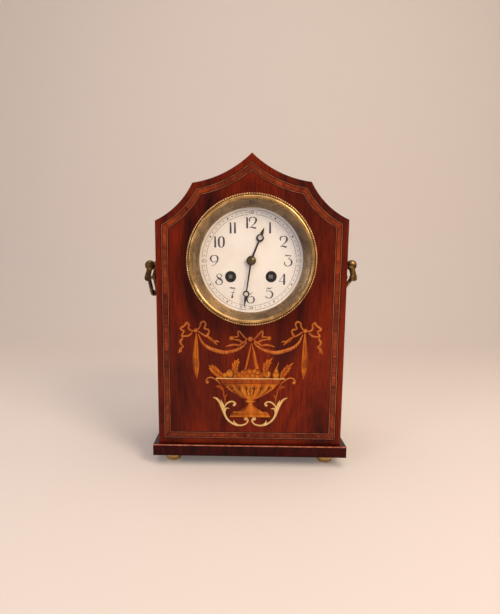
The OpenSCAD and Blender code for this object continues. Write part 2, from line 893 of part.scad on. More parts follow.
cannon_back = front_plate_a + 0.5;
cannon_gear_t = 1.6;
hour_wheel_a = cannon_back + cannon_gear_t + 0.6;
module cannon_pinion() {
    phase = line_of(centre_at, minute_wheel_at) + 180 / cannon_teeth;
    color("gold")
        at_dial(0)
            difference() {
                union() {
                    translate([0, 0, cannon_back])
                        pinion(cannon_teeth, motion_module, cannon_gear_t, phase);
                    rod([0, 0], cannon_pipe_r, cannon_back, minute_a + hand_t + 0.8);
                }
                rod([0, 0], centre_pipe_r + fit, cannon_back - 1, minute_a + hand_t + 2);
            }
}
module minute_wheel() {
    wheel_phase = line_of(minute_wheel_at, centre_at);
    leaf_phase = wheel_phase + 180 / minute_leaves;
    color("gold")
        at_dial(0)
            translate([minute_wheel_at[0], minute_wheel_at[1], 0])
                difference() {
                    union() {
                        translate([0, 0, cannon_back + 0.3])
                            crossed_wheel(minute_teeth, motion_module, 1, stud_r, wheel_phase, 4);
                        translate([0, 0, cannon_back + 1.3])
                            pinion(minute_leaves, motion_module, 2.2, leaf_phase);
                    }
                    rod([0, 0], stud_r + fit, cannon_back - 1, hour_wheel_a + 3);
                }
}
module hour_wheel() {
    phase = line_of(centre_at, minute_wheel_at);
    color("gold")
        at_dial(0)
            difference() {
                union() {
                    translate([0, 0, hour_wheel_a])
                        crossed_wheel(hour_teeth, motion_module, 1, hour_pipe_r - 0.2, phase, 4);
                    rod([0, 0], hour_pipe_r, hour_wheel_a, hour_a + hand_t);
                }
                rod([0, 0], cannon_pipe_r + fit, hour_wheel_a - 1, hour_a + 2);
            }
}

// Movement frame

module pivot_hole(at, r = pivot_r + pivot_gap) {
    translate([at[0], at[1], -1])
        cylinder(r = r, h = plate_t + 2, $fn = small);
}
module front_plate() {
    color("gold") {
        at_dial(inside_a)
            difference() {
                disc(plate_r, plate_t);
                for (at = [going_second_at, third_at, escape_at, pallet_at, strike_second_at, pin_at,
                        locking_at, fly_at, hammer_at])
                    pivot_hole(at);
                pivot_hole(centre_at, centre_pipe_r + fit);
                pivot_hole(going_winding_at, winding_arbor_r + fit);
                pivot_hole(strike_winding_at, winding_arbor_r + fit);
                for (ang = [40, 160, 280])
                    pivot_hole(ring_point(dial_foot_at, ang), dial_foot_r + fit);
            }
        // Studs of the minute wheel and of the two clicks
        at_dial(0) {
            rod(minute_wheel_at, stud_r, front_plate_a - 0.5, hour_wheel_a + 1.6);
            for (s = [-1, 1])
                rod([s * (winding_x + click_at[0]), click_at[1] - winding_drop], click_stud_r,
                    front_plate_a - 0.5, front_plate_a + 2.6);
        }
    }
}
module back_plate() {
    color("gold")
        at_dial(back_plate_a)
            difference() {
                disc(plate_r, plate_t);
                for (at = [going_second_at, third_at, escape_at, strike_second_at, pin_at, locking_at,
                        fly_at, centre_at])
                    pivot_hole(at);
                pivot_hole(pallet_at, arbor_r + 0.6);
                pivot_hole(hammer_at, arbor_r + fit);
                pivot_hole(going_winding_at, back_arbor_r + fit);
                pivot_hole(strike_winding_at, back_arbor_r + fit);
            }
}
// Turned pillars between the plates, each with a screw head outside the back plate
module pillars() {
    color("gold")
        at_dial(0)
            for (at = pillar_at)
                translate([at[0], at[1], inside_a - plate_gap])
                    rotate_extrude($fn = fine)
                        polygon([[0, 0], [pillar_r, 0], [pillar_r, 3], [pillar_r - 0.8, 4.2],
                            [pillar_r - 1.2, plate_gap / 2], [pillar_r - 0.8, plate_gap - 4.2],
                            [pillar_r, plate_gap - 3], [pillar_r, plate_gap], [0, plate_gap]]);
}
// Two flat straps that hang the movement on the bezel frame, each with a foot on the front
// plate and a tapped lug at the back for the long screw
module movement_straps() {
    color("gold")
        for (s = [0, 1])
            mirror([s, 0, 0])
                at_dial(0)
                    difference() {
                        union() {
                            translate([strap_x, -strap_w / 2, strap_end_a])
                                cube([strap_t, strap_w, -strap_end_a]);
                            translate([strap_x - strap_foot_in, -strap_w / 2, front_plate_a])
                                cube([strap_foot_in + 0.5, strap_w, strap_t]);
                            translate([strap_x + strap_t - strap_lug, -strap_lug / 2, strap_end_a])
                                cube([strap_lug, strap_lug, strap_lug]);
                        }
                        rod([strap_screw_x, 0], screw_r, strap_end_a - 1, strap_end_a + strap_lug - 1);
                    }
}
// The long screws that pull the rear ring and the bezel together through the case
module strap_screws() {
    screw_back = -body_d - rear_ring_t;
    color("slategray")
        for (s = [0, 1])
            mirror([s, 0, 0])
                at_dial(0)
                    translate([strap_screw_x, 0, 0])
                        difference() {
                            union() {
                                rod([0, 0], screw_r - fit, screw_back - 0.2, strap_end_a + strap_lug - 1.5);
                                rod([0, 0], screw_head_r, screw_back - 1.4, screw_back);
                            }
                            translate([-screw_head_r - 1, -0.4, screw_back - 2])
                                cube([2 * screw_head_r + 2, 0.8, 1.3]);
                        }
}

// Going train

// A spring barrel: a drum with two covers and a great wheel cut on its back edge
module barrel(at, s) {
    drum_back = inside_a - barrel_back_w;
    wall = 1.2;
    phase = s > 0 ? line_of(going_winding_at, going_second_at)
        : line_of(strike_winding_at, strike_second_at);
    color("gold")
        at_dial(0)
            translate([at[0], at[1], 0])
                difference() {
                    union() {
                        translate([0, 0, drum_back - great_wheel_t])
                            linear_extrude(great_wheel_t)
                                polygon(wheel_outline(great_teeth, great_module, phase));
                        translate([0, 0, drum_back - 0.2])
                            disc(barrel_r, barrel_back_w - barrel_front_w + 0.2);
                    }
                    translate([0, 0, drum_back - great_wheel_t + wall])
                        disc(barrel_r - wall, barrel_back_w - barrel_front_w + great_wheel_t - 2 * wall);
                    translate([0, 0, drum_back - great_wheel_t - 1])
                        cylinder(r = winding_arbor_r + fit, h = plate_gap, $fn = small);
                }
}
module going_barrel() {
    barrel(going_winding_at, 1);
}
module strike_barrel() {
    barrel(strike_winding_at, -1);
}
// The mainspring: a flat steel ribbon coiled inside the drum
module mainspring(at, s) {
    turns = 7;
    steps = 24;
    r0 = winding_arbor_r + 1.2;
    r1 = barrel_r - 1.2 - 0.35;
    thick = 0.45;
    function spiral_r(i) = r0 + (r1 - thick - r0) * i / (turns * steps);
    inner = [for (i = [0:turns * steps]) ring_point(spiral_r(i), s * i * 360 / steps)];
    outer = [for (i = [turns * steps:-1:0]) ring_point(spiral_r(i) + thick, s * i * 360 / steps)];
    color("steelblue")
        at_dial(inside_a - barrel_back_w - great_wheel_t + 1.6)
            translate([at[0], at[1], 0])
                linear_extrude(barrel_back_w - barrel_front_w + great_wheel_t - 3.2)
                    polygon(concat(inner, outer));
}
module going_mainspring() {
    mainspring(going_winding_at, 1);
}
module strike_mainspring() {
    mainspring(strike_winding_at, -1);
}
// A winding arbor: it turns in the plates, carries the ratchet wheel in front of the
// front plate and ends in the square that the key fits
module winding_arbor(at, s) {
    ratchet_a = front_plate_a + 0.5;
    tooth = 360 / click_teeth;
    step = 0.9;
    color("silver")
        at_dial(0)
            translate([at[0], at[1], 0]) {
                rod([0, 0], back_arbor_r, back_plate_a + 0.3, inside_a - plate_gap + 0.5);
                rod([0, 0], winding_arbor_r, inside_a - plate_gap + 0.3, ratchet_a + 1.6);
                translate([0, 0, ratchet_a])
                    linear_extrude(1.4)
                        polygon([for (i = [0:click_teeth - 1]) for (k = [0, 1])
                            ring_point(ratchet_r - k * step, s * tooth * (i + k * 0.12) + 60)]);
                translate([-winding_square / 2, -winding_square / 2, ratchet_a])
                    cube([winding_square, winding_square, winding_end_a - ratchet_a]);
            }
}
module going_winding_arbor() {
    winding_arbor(going_winding_at, 1);
}
module strike_winding_arbor() {
    winding_arbor(strike_winding_at, -1);
}
// A click on its stud, its nose riding over a ratchet tooth
module click(s) {
    pivot = [winding_x + click_at[0], click_at[1] - winding_drop];
    nose = ring_point(ratchet_r + 0.25, 62);
    to_nose = nose - click_at;
    color("slategray")
        mirror([s > 0 ? 0 : 1, 0, 0])
            at_dial(front_plate_a + 0.5)
                translate([pivot[0], pivot[1], 0])
                    difference() {
                        union() {
                            cylinder(r = 1.9, h = 1.4, $fn = small);
                            linear_extrude(1.4)
                                polygon([[-0.6, -1.7], to_nose, to_nose + [0.7, 0.9], [0.4, 1.7]]);
                        }
                        translate([0, 0, -1])
                            cylinder(r = click_stud_r + fit, h = 4, $fn = small);
                    }
}
module going_click() {
    click(1);
}
module strike_click() {
    click(-1);
}
// An arbor of the train with a pinion that is driven from one arbor and a wheel that
// drives the next; depths are counted back from the inside of the front plate
module train_arbor(at, from, leaves, pinion_m, pinion_w, pinion_t,
        to, teeth, wheel_m, wheel_w, wheel_t, r = arbor_r) {
    leaf_phase = line_of(at, from) + 180 / leaves;
    at_dial(0)
        translate([at[0], at[1], 0]) {
            arbor(r);
            translate([0, 0, inside_a - pinion_w - pinion_t])
                pinion(leaves, pinion_m, pinion_t, leaf_phase);
            translate([0, 0, inside_a - wheel_w - wheel_t])
                crossed_wheel(teeth, wheel_m, wheel_t, r - 0.1, line_of(at, to));
        }
}
module going_second_wheel() {
    color("gold")
        train_arbor(going_second_at, going_winding_at, pinion_leaves, great_module, great_w - 0.6,
            great_wheel_t + 1.1, centre_at, second_teeth, second_module, second_w, 1.2);
}
// The centre arbor turns once an hour; its long front end carries the motion work
module centre_wheel() {
    leaf_phase = line_of(centre_at, going_second_at) + 180 / pinion_leaves;
    color("gold")
        at_dial(0) {
            translate([0, 0, inside_a - plate_gap + 0.25])
                cylinder(r = arbor_r, h = plate_gap - 0.5, $fn = small);
            rod([0, 0], pivot_r, back_plate_a + 0.2, inside_a - plate_gap + 1);
            rod([0, 0], centre_pipe_r, inside_a - 1, minute_a + hand_t + 0.5);
            translate([0, 0, inside_a - second_w - 1.9])
                pinion(pinion_leaves, second_module, 2.6, leaf_phase);
            translate([0, 0, inside_a - 2.6])
                crossed_wheel(centre_teeth, centre_module, 1.2, arbor_r - 0.1,
                    line_of(centre_at, third_at));
        }
}
module third_wheel() {
    color("gold")
        train_arbor(third_at, centre_at, small_leaves, centre_module, 0.8, 2.6,
            escape_at, third_teeth, third_module, third_w, 1.2, thin_arbor_r);
}
// The escape wheel: thirty-five thin pointed teeth
module escape_wheel() {
    step = 360 / escape_teeth;
    leaf_phase = line_of(escape_at, third_at) + 180 / small_leaves;
    color("gold")
        at_dial(0)
            translate([escape_at[0], escape_at[1], 0]) {
                arbor(thin_arbor_r);
                translate([0, 0, inside_a - third_w - 1.9])
                    pinion(small_leaves, third_module, 2.6, leaf_phase);
                translate([0, 0, inside_a - escape_w - 0.8])
                    linear_extrude(0.8)
                        difference() {
                            polygon([for (i = [0:escape_teeth - 1])
                                for (k = [[0, 0], [-0.9, 0.32], [-0.9, 0.8]])
                                    ring_point(escape_r + k[0], step * (i + k[1]))]);
                            difference() {
                                circle(r = escape_r - 1.7, $fn = small);
                                circle(r = 2.2, $fn = small);
                                for (i = [0:3])
                                    rotate(i * 90)
                                        translate([0, -0.4])
                                            square([escape_r, 0.8]);
                            }
                        }
            }
}
// Pallets, their arbor and the crutch. The arbor runs from the front plate through a wide
// hole in the back plate to the cock, and the crutch hangs down behind the back plate.
module pallets() {
    pad = ring_point(escape_r + 0.6, 48) + escape_at - pallet_at;
    pad_top = ring_point(escape_r + 2.4, 44) + escape_at - pallet_at;
    crutch_a = back_plate_a - 1.8;
    fork_y = -24;
    half_fork = pendulum_rod_r + 0.35;
    color("slategray")
        at_dial(0)
            translate([pallet_at[0], pallet_at[1], 0]) {
                rod([0, 0], pivot_r, inside_a - 1, front_plate_a - 0.2);
                rod([0, 0], arbor_r, cock_front_a + 0.3, inside_a - 0.25);
                rod([0, 0], pivot_r, cock_front_a - 1.8, cock_front_a + 1);
                translate([0, 0, inside_a - escape_w - 1])
                    linear_extrude(1.2)
                        union() {
                            circle(r = 2, $fn = small);
                            for (s = [0, 1])
                                mirror([s, 0])
                                    polygon([[0, 1.9], [pad_top[0], pad_top[1] + 1], pad_top, pad,
                                        pad - [0.9, -1.2], [1.2, -1.2]]);
                        }
                // Crutch: a flat stem and a fork that reaches back over the pendulum rod
                translate([0, 0, crutch_a])
                    linear_extrude(1)
                        union() {
                            circle(r = 2.2, $fn = small);
                            translate([-0.8, fork_y])
                                square([1.6, -fork_y]);
                            translate([-half_fork - 1, fork_y - 1])
                                square([2 * half_fork + 2, 2]);
                        }
                for (s = [-1, 1])
                    translate([s * (half_fork + 0.5) - 0.5, fork_y - 1, pendulum_a - pendulum_rod_r - 1])
                        cube([1, 2, crutch_a + 0.5 - pendulum_a + pendulum_rod_r + 1]);
            }
}
// The cock on the back plate: it holds the back pivot of the pallets and, in its jaw,
// the suspension spring
module suspension_cock() {
    half = 11;
    jaw_from = 2.2;
    regulator_rise = regulator_r - pallet_at[1];
    color("gold")
        at_dial(0)
            translate([pallet_at[0], pallet_at[1], 0])
                difference() {
                    union() {
                        for (s = [-1, 1])
                            translate([s * half - 2, -3, cock_front_a - 0.2])
                                cube([4, 6, back_plate_a - cock_front_a + 0.2]);
                        translate([-half - 2, -3, cock_front_a - 2])
                            cube([2 * half + 4, 6, 2]);
                        translate([-2.6, jaw_from, pendulum_a - 3])
                            cube([5.2, 5, cock_front_a - pendulum_a + 3]);
                        // Lug for the back end of the regulating arbor
                        translate([-2.5, jaw_from, cock_front_a - 2])
                            cube([5, regulator_rise - jaw_from + 2.5, 2]);
                    }
                    translate([0, regulator_rise, cock_front_a - 3])
                        cylinder(r = regulator_pin_r + fit, h = 4, $fn = small);
                    translate([0, 0, cock_front_a - 3])
                        cylinder(r = pivot_r + pivot_gap, h = 4, $fn = small);
                    translate([-1.9, jaw_from - 1, pendulum_a - 0.6])
                        cube([3.8, 7, 1.2]);
                }
}
// The suspension spring: a thin steel strip with a brass block gripped in the jaw
module suspension_spring() {
    color("steelblue")
        at_dial(pendulum_a)
            translate([pallet_at[0], pallet_at[1], 0]) {
                translate([-1.5, -1.6, -0.1])
                    cube([3, 6, 0.2]);
                translate([-1.8, 3, -0.55])
                    cube([3.6, 3.6, 1.1]);
            }
}
module pendulum_rod() {
    color("gold")
        at_dial(pendulum_a)
            translate([pallet_at[0], pallet_at[1], 0]) {
                translate([-2, -4.4, -1])
                    cube([4, 2.5, 2]);
                translate([0, -2.2, 0])
                    rotate([90, 0, 0])
                        cylinder(r = pendulum_rod_r, h = pendulum_l + bob_r + 3.8, $fn = small);
                translate([0, -pendulum_l - bob_r - 0.4, 0])
                    rotate([90, 0, 0])
                        cylinder(r = 3, h = 2.6, $fn = 12);
            }
}
module pendulum_bob() {
    half = bob_t / 2;
    lens_r = (bob_r * bob_r + pow(half - 0.6, 2)) / (2 * (half - 0.6));
    color("goldenrod")
        at_dial(pendulum_a)
            translate([bob_at[0], bob_at[1], 0])
                difference() {
                    rotate_extrude($fn = fine)
                        intersection() {
                            translate([0, -half])
                                square([bob_r, 2 * half]);
                            translate([0, half - lens_r])
                                circle(r = lens_r, $fn = fine * 2);
                            translate([0, lens_r - half])
                                circle(r = lens_r, $fn = fine * 2);
                        }
                    rotate([90, 0, 0])
                        translate([0, 0, -bob_r - 1])
                            cylinder(r = pendulum_rod_r + 0.03, h = 2 * bob_r + 2, $fn = small);
                }
}

// Striking train

module strike_second_wheel() {
    color("gold")
        train_arbor(strike_second_at, strike_winding_at, pinion_leaves, great_module, great_w - 0.6,
            great_wheel_t + 1.1, pin_at, second_teeth, second_module, second_w, 1.2);
}
// The pin wheel: its ten pins lift the hammer's tail
module pin_wheel() {
    color("gold") {
        train_arbor(pin_at, strike_second_at, pinion_leaves, second_module, second_w - 0.7, 2.6,
            locking_at, pin_teeth, pin_module, pin_w, 1.2);
        at_dial(0)
            translate([pin_at[0], pin_at[1], 0])
                for (i = [0:9])
                    rod(ring_point(pin_ring_r, pin_phase + i * 36), 0.35,
                        inside_a - pin_w - 0.5, inside_a - pin_w + 1.6);
    }
}
module locking_wheel() {
    color("gold")
        train_arbor(locking_at, pin_at, small_leaves, pin_module, pin_w - 0.8, 2.8,
            fly_at, locking_teeth, locking_module, locking_w, 1.2, thin_arbor_r);
}
// The fly: two thin vanes that slow the striking by beating the air
module fly() {
    leaf_phase = line_of(fly_at, locking_at) + 180 / small_leaves;
    color("gold")
        at_dial(0)
            translate([fly_at[0], fly_at[1], 0]) {
                arbor(thin_arbor_r);
                translate([0, 0, inside_a - locking_w - 1.9])
                    pinion(small_leaves, locking_module, 2.6, leaf_phase);
                translate([-fly_r, -0.25, inside_a - fly_w - fly_l])
                    cube([2 * fly_r, 0.5, fly_l]);
            }
}
module strut(p, q, r) {
    d = q - p;
    translate(p)
        rotate([0, acos(d[2] / norm(d)), atan2(d[1], d[0])])
            cylinder(r = r, h = norm(d), $fn = small);
}
// The hammer: an arbor with a tail that the pins lift, and a bent arm outside the back
// plate that carries the head beside the gong
module hammer() {
    side = ring_point(1, 140);
    head = gong_at + (gong_r + hammer_head_r + 0.5) * side - hammer_at;
    tail_tip = pin_at + ring_point(pin_ring_r + 1, 200) - hammer_at;
    tail_w = pin_w - 1.6;
    arm_a = back_plate_a - 2.6;
    color("slategray")
        at_dial(0)
            translate([hammer_at[0], hammer_at[1], 0]) {
                rod([0, 0], pivot_r, inside_a - 1, front_plate_a - 0.2);
                rod([0, 0], arbor_r, arm_a - 1, inside_a - 0.25);
                translate([0, 0, inside_a - tail_w - 1])
                    linear_extrude(1)
                        union() {
                            circle(r = 2, $fn = small);
                            polygon([[-1.2, 0.6], tail_tip - [0.6, -0.3], tail_tip, [1.2, -0.6]]);
                        }
                rod([0, 0], 2.4, arm_a - 2, arm_a + 1.6);
                strut([0, 0, arm_a - 0.4], [head[0], head[1], gong_a], 0.8);
                rod(head, hammer_head_r, gong_a - hammer_head_l / 2, gong_a + hammer_head_l / 2);
            }
}
// The gong: a square steel wire coiled flat, its inner end held in the boss
module gong() {
    turns = 3.5;
    steps = 36;
    count = turns * steps;
    inner_r = gong_boss_r + 0.1;
    function coil_r(i) = inner_r + (gong_r - gong_wire - inner_r) * i / count;
    inner = [for (i = [0:count]) ring_point(coil_r(i), 180 + i * 360 / steps)];
    outer = [for (i = [count:-1:0]) ring_point(coil_r(i) + gong_wire, 180 + i * 360 / steps)];
    color("slategray")
        at_dial(gong_a - gong_wire / 2)
            translate([gong_at[0], gong_at[1], 0])
                linear_extrude(gong_wire)
                    polygon(concat(inner, outer));
}
module gong_boss() {
    color("dimgray")
        at_dial(0)
            translate([gong_at[0], gong_at[1], 0]) {
                rod([0, 0], gong_boss_r, -body_d + back_t, gong_a + gong_wire);
                rod([0, 0], gong_boss_r + 5, -body_d + back_t, -body_d + back_t + 3);
            }
}

// Regulating arbor: a squared end behind the hole in the sight ring, turned with the small
// end of the key, on an arbor that runs back to a lug on the suspension cock
module regulator_arbor() {
    front = sight_back + 3.2;
    color("slategray")
        at_dial(0)
            translate([0, regulator_r, 0]) {
                rod([0, 0], regulator_pin_r, cock_front_a - 2.8, front - 1.6);
                rod([0, 0], 2.2, cock_front_a - 3.6, cock_front_a - 2.4);
                translate([-0.9, -0.9, front - 2])
                    cube([1.8, 1.8, 2]);
            }
}

// Rear door

module rear_ring() {
    color("gold")
        difference() {
            union() {
                at_dial(-body_d - rear_ring_t)
                    tube(rear_hole_r + rear_ring_w, rear_inner_r, rear_ring_t);
                at_dial(-body_d - 0.1)
                    tube(rear_hole_r - 0.15, rear_hole_r - 0.85, 4);
                for (s = [-1, 1])
                    rear_knuckle(s > 0 ? 3.4 : -3.4 - rear_knuckle_l, 0);
            }
            for (s = [-1, 1])
                at_dial(0)
                    rod([s * strap_screw_x, 0], screw_r, -body_d - 3, -body_d + 1);
            rear_pin_hole(rear_pin_r);
        }
}
// A rear hinge knuckle with a web: one side's web runs outwards to the ring, and the
// other's runs inwards to the door
module rear_knuckle(y, inwards) {
    at_dial(rear_hinge_a) {
        translate([-rear_hinge_x, y + rear_knuckle_l, 0])
            rotate([90, 0, 0])
                cylinder(r = rear_knuckle_r, h = rear_knuckle_l, $fn = small);
        if (inwards > 0)
            translate([-rear_hinge_x, y, -0.4])
                cube([4, rear_knuckle_l, 1]);
        else
            translate([-rear_hinge_x - 0.8, y, 0])
                cube([1.6, rear_knuckle_l, -body_d - rear_hinge_a - 0.5]);
    }
}
module rear_pin_hole(r) {
    at_dial(rear_hinge_a)
        translate([-rear_hinge_x, 20, 0])
            rotate([90, 0, 0])
                cylinder(r = r, h = 40, $fn = small);
}
module rear_hinge_pin() {
    long = 2 * rear_knuckle_l + 0.2;
    color("darkgoldenrod")
        for (s = [0, 1])
            at_dial(rear_hinge_a)
                mirror([0, s, 0])
                    translate([-rear_hinge_x, 3.4 + long, 0])
                        rotate([90, 0, 0])
                            cylinder(r = rear_pin_r, h = long, $fn = small);
}
// The round rear door: a shallow brass pan that laps over the ring, with a turned knob
module rear_door() {
    lap_back = -body_d - rear_ring_t - 0.25;
    pan_t = 1;
    color("gold")
        difference() {
            union() {
                at_dial(0)
                    rotate_extrude($fn = fine)
                        polygon([[0, lap_back - 1.8], [rear_inner_r - 4, lap_back - 1.8],
                            [rear_inner_r - 1.4, lap_back - pan_t], [rear_door_r, lap_back - pan_t],
                            [rear_door_r, lap_back], [rear_inner_r - 1.8, lap_back],
                            [rear_inner_r - 4.2, lap_back - 1.8 + pan_t], [0, lap_back - 1.8 + pan_t]]);
                for (s = [-1, 1])
                    rear_knuckle(s > 0 ? 3.6 + rear_knuckle_l : -3.6 - 2 * rear_knuckle_l, 1);
                at_dial(0)
                    translate([rear_inner_r - 9, 0, lap_back - 1.6])
                        rotate([180, 0, 0])
                            rotate_extrude($fn = fine)
                                polygon([[0, 0], [2, 0], [1.2, 0.6], [1.2, 1.2], [2.6, 1.6],
                                    [2.6, knob_end - 0.4], [2.1, knob_end], [0, knob_end]]);
            }
            rear_pin_hole(rear_pin_r + fit);
        }
}

// Each part is drawn on its own, or all of them together
plinth();
bun_feet();
plinth_stringing();
case_front();
front_banding();
front_stringing();
case_left_side();
case_right_side();
case_top();
case_back();
glue_blocks();
handle_brackets();
left_bail();
right_bail();
bezel_frame();
sight_ring();
bezel_door();
bezel_glass();
bezel_hinge_pin();
dial();
hour_hand();
minute_hand();
hand_nut();
front_plate();
back_plate();
pillars();
movement_straps();
strap_screws();
going_barrel();
going_winding_arbor();
going_second_wheel();
centre_wheel();
third_wheel();
escape_wheel();
pallets();
suspension_cock();
suspension_spring();
pendulum_rod();
pendulum_bob();
strike_barrel();
strike_winding_arbor();
strike_second_wheel();
pin_wheel();
locking_wheel();
fly();
hammer();
cannon_pinion();
minute_wheel();
hour_wheel();
going_click();
strike_click();
regulator_arbor();
gong();
gong_boss();
rear_ring();
rear_door();
rear_hinge_pin();
going_mainspring();
strike_mainspring();
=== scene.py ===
"""Looks of a small inlaid mahogany mantel clock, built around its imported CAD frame.

Metres, +Z up, the dial faces -Y. The sections follow the clock as it is put together:
the room, the case and its inlay, the bezel, the dial and hands, the handles, the back
and the movement.
"""

import itertools
import math

import bmesh
import bpy
from mathutils import Matrix, Vector


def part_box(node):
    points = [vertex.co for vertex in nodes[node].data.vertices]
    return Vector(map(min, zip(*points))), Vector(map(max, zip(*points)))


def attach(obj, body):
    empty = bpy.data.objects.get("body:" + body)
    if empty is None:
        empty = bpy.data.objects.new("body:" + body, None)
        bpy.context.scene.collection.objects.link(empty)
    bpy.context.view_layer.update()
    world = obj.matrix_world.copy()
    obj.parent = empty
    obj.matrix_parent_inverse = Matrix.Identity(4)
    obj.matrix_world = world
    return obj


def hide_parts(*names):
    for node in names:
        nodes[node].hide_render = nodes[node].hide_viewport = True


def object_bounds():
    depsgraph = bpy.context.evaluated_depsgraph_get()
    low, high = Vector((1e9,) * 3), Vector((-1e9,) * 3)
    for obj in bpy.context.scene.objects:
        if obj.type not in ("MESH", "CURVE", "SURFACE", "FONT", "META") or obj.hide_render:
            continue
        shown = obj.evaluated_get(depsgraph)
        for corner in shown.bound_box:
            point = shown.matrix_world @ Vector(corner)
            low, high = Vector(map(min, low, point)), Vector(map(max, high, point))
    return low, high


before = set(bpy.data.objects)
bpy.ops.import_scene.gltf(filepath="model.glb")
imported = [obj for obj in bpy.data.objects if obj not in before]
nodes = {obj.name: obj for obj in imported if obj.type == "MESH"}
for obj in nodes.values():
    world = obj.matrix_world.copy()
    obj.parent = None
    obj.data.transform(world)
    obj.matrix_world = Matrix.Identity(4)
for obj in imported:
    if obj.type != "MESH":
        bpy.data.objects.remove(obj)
cad_box = [list(corner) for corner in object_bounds()]

# The room
# A plain pale floor that sweeps up into a pale wall, softly lit, and a camera half a
# metre in front of the dial that looks a little down at the clock.

front_low, front_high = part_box("case_front")
front_y = front_low.y


def tint(red, green, blue):
    """A colour from 0 to 255, as a paint chart gives it, in the shader's own values."""
    return tuple((c / 255) ** 2.2 for c in (red, green, blue)) + (1.0,)


def new_finish(name, **plain):
    """A material whose shader has its plain sockets set; returns it, its tree and its shader."""
    mat = bpy.data.materials.new(name)
    mat.use_nodes = True
    tree = mat.node_tree
    shader = tree.nodes["Principled BSDF"]
    for socket, value in plain.items():
        shader.inputs[socket.replace("_", " ")].default_value = value
    return mat, tree, shader


def add_node(tree, kind, values=None, **settings):
    """A node of one kind with its settings, and its inputs filled or linked from values."""
    made = tree.nodes.new(kind)
    for setting, value in settings.items():
        setattr(made, setting, value)
    for socket, value in (values or {}).items():
        if isinstance(value, bpy.types.NodeSocket):
            tree.links.new(value, made.inputs[socket])
        else:
            made.inputs[socket].default_value = value
    return made


def new_ramp(tree, factor, stops):
    """A colour ramp over factor with (place, colour) stops."""
    ramp = add_node(tree, "ShaderNodeValToRGB", {"Fac": factor})
    marks = ramp.color_ramp.elements
    while len(marks) < len(stops):
        marks.new(0.5)
    for mark, (place, colour) in zip(marks, stops):
        mark.position = place
        mark.color = colour
    return ramp.outputs["Color"]


def spread(tree, value, low, high, to_low=0.0, to_high=1.0, **settings):
    """Takes a value from between low and high to between to_low and to_high."""
    return add_node(tree, "ShaderNodeMapRange", {"Value": value, "From Min": low, "From Max": high,
                                                 "To Min": to_low, "To Max": to_high}, **settings).outputs[0]


def reckon(tree, operation, *values):
    """The result of one sum on values or on what other nodes put out."""
    return add_node(tree, "ShaderNodeMath", dict(enumerate(values)), operation=operation).outputs[0]


studio, tree, shader = new_finish("pale_backdrop", Roughness=0.85, Base_Color=tint(216, 204, 197))
# A little light of its own keeps the shadows on it soft
glow = add_node(tree, "ShaderNodeEmission", {"Color": tint(232, 218, 206), "Strength": 0.16})
both = add_node(tree, "ShaderNodeAddShader", {0: shader.outputs[0], 1: glow.outputs[0]})
tree.links.new(both.outputs[0], tree.nodes["Material Output"].inputs["Surface"])

# Metres behind the middle of the clock where the floor starts to bend up, and its bend
bend_start, bend_radius = 0.75, 0.35
half_floor, floor_front, wall_top = 2.2, -1.6, 2.4
bend = []
for turned in range(6, 91, 6):
    angle = math.radians(turned)
    bend.append((bend_start + bend_radius * math.sin(angle), bend_radius - bend_radius * math.cos(angle)))
sweep = bmesh.new()
last = sweep.edges.new([sweep.verts.new((x, floor_front, 0)) for x in (-half_floor, half_floor)])
for y, z in [(bend_start, 0)] + bend + [(bend_start + bend_radius, wall_top)]:
    grown = bmesh.ops.extrude_edge_only(sweep, edges=[last])["geom"]
    last = next(g for g in grown if isinstance(g, bmesh.types.BMEdge))
    for v in last.verts:
        v.co.y, v.co.z = y, z
bmesh.ops.recalc_face_normals(sweep, faces=sweep.faces)
mesh = bpy.data.meshes.new("floor_and_wall")
sweep.to_mesh(mesh)
sweep.free()
mesh.shade_smooth()
mesh.materials.append(studio)
backdrop = bpy.data.objects.new("floor_and_wall", mesh)
bpy.context.scene.collection.objects.link(backdrop)

room = bpy.data.worlds.new("soft_room")
bpy.context.scene.world = room
room.use_nodes = True
tree = room.node_tree
dim_light = tree.nodes["Background"]
dim_light.inputs["Strength"].default_value = 0.3
# The light that the room gives comes from its sides more than from behind the camera
direction = add_node(tree, "ShaderNodeTexCoord").outputs["Generated"]
depth = add_node(tree, "ShaderNodeSeparateXYZ", {0: direction}).outputs["Y"]
shading = new_ramp(tree, spread(tree, depth, -1.0, 1.0),
                   [(0.1, tint(92, 78, 70)), (0.55, tint(255, 240, 226))])
tree.links.new(shading, dim_light.inputs["Color"])
# What the camera, the brass and the glass see of it is as pale as the wall
rays = add_node(tree, "ShaderNodeLightPath").outputs
seen = reckon(tree, "MAXIMUM", rays["Is Camera Ray"], rays["Is Glossy Ray"])
seen = reckon(tree, "MAXIMUM", seen, rays["Is Transmission Ray"])
plain_wall = add_node(tree, "ShaderNodeBackground", {"Color": tint(206, 187, 175), "Strength": 1.0})
both = add_node(tree, "ShaderNodeMixShader", {0: seen, 1: dim_light.outputs[0], 2: plain_wall.outputs[0]})
tree.links.new(both.outputs[0], tree.nodes["World Output"].inputs["Surface"])

# Two windows and a pale ceiling: where each stands, what it faces, its size, watts and colour
for name, place, aim, size, power, colour in [
        ("window_right", (0.75, -1.05, 0.95), (0, 0, 0.18), (0.5, 0.7), 15.6, (255, 236, 210)),
        ("window_left", (-0.95, -1.15, 0.62), (0, 0, 0.16), (0.35, 0.7), 5.5, (200, 218, 255)),
        ("ceiling", (0.1, -0.25, 1.5), (0, 0, 0.1), (1.3, 1.3), 11.0, (255, 243, 232))]:
    lamp = bpy.data.lights.new(name, "AREA")
    lamp.shape = "RECTANGLE"
    lamp.size, lamp.size_y = size
    lamp.energy = power
    lamp.color = tint(*colour)[:3]
    light = bpy.data.objects.new(name, lamp)
    light.location = place
    light.rotation_euler = (Vector(aim) - Vector(place)).to_track_quat("-Z", "Y").to_euler()
    bpy.context.scene.collection.objects.link(light)

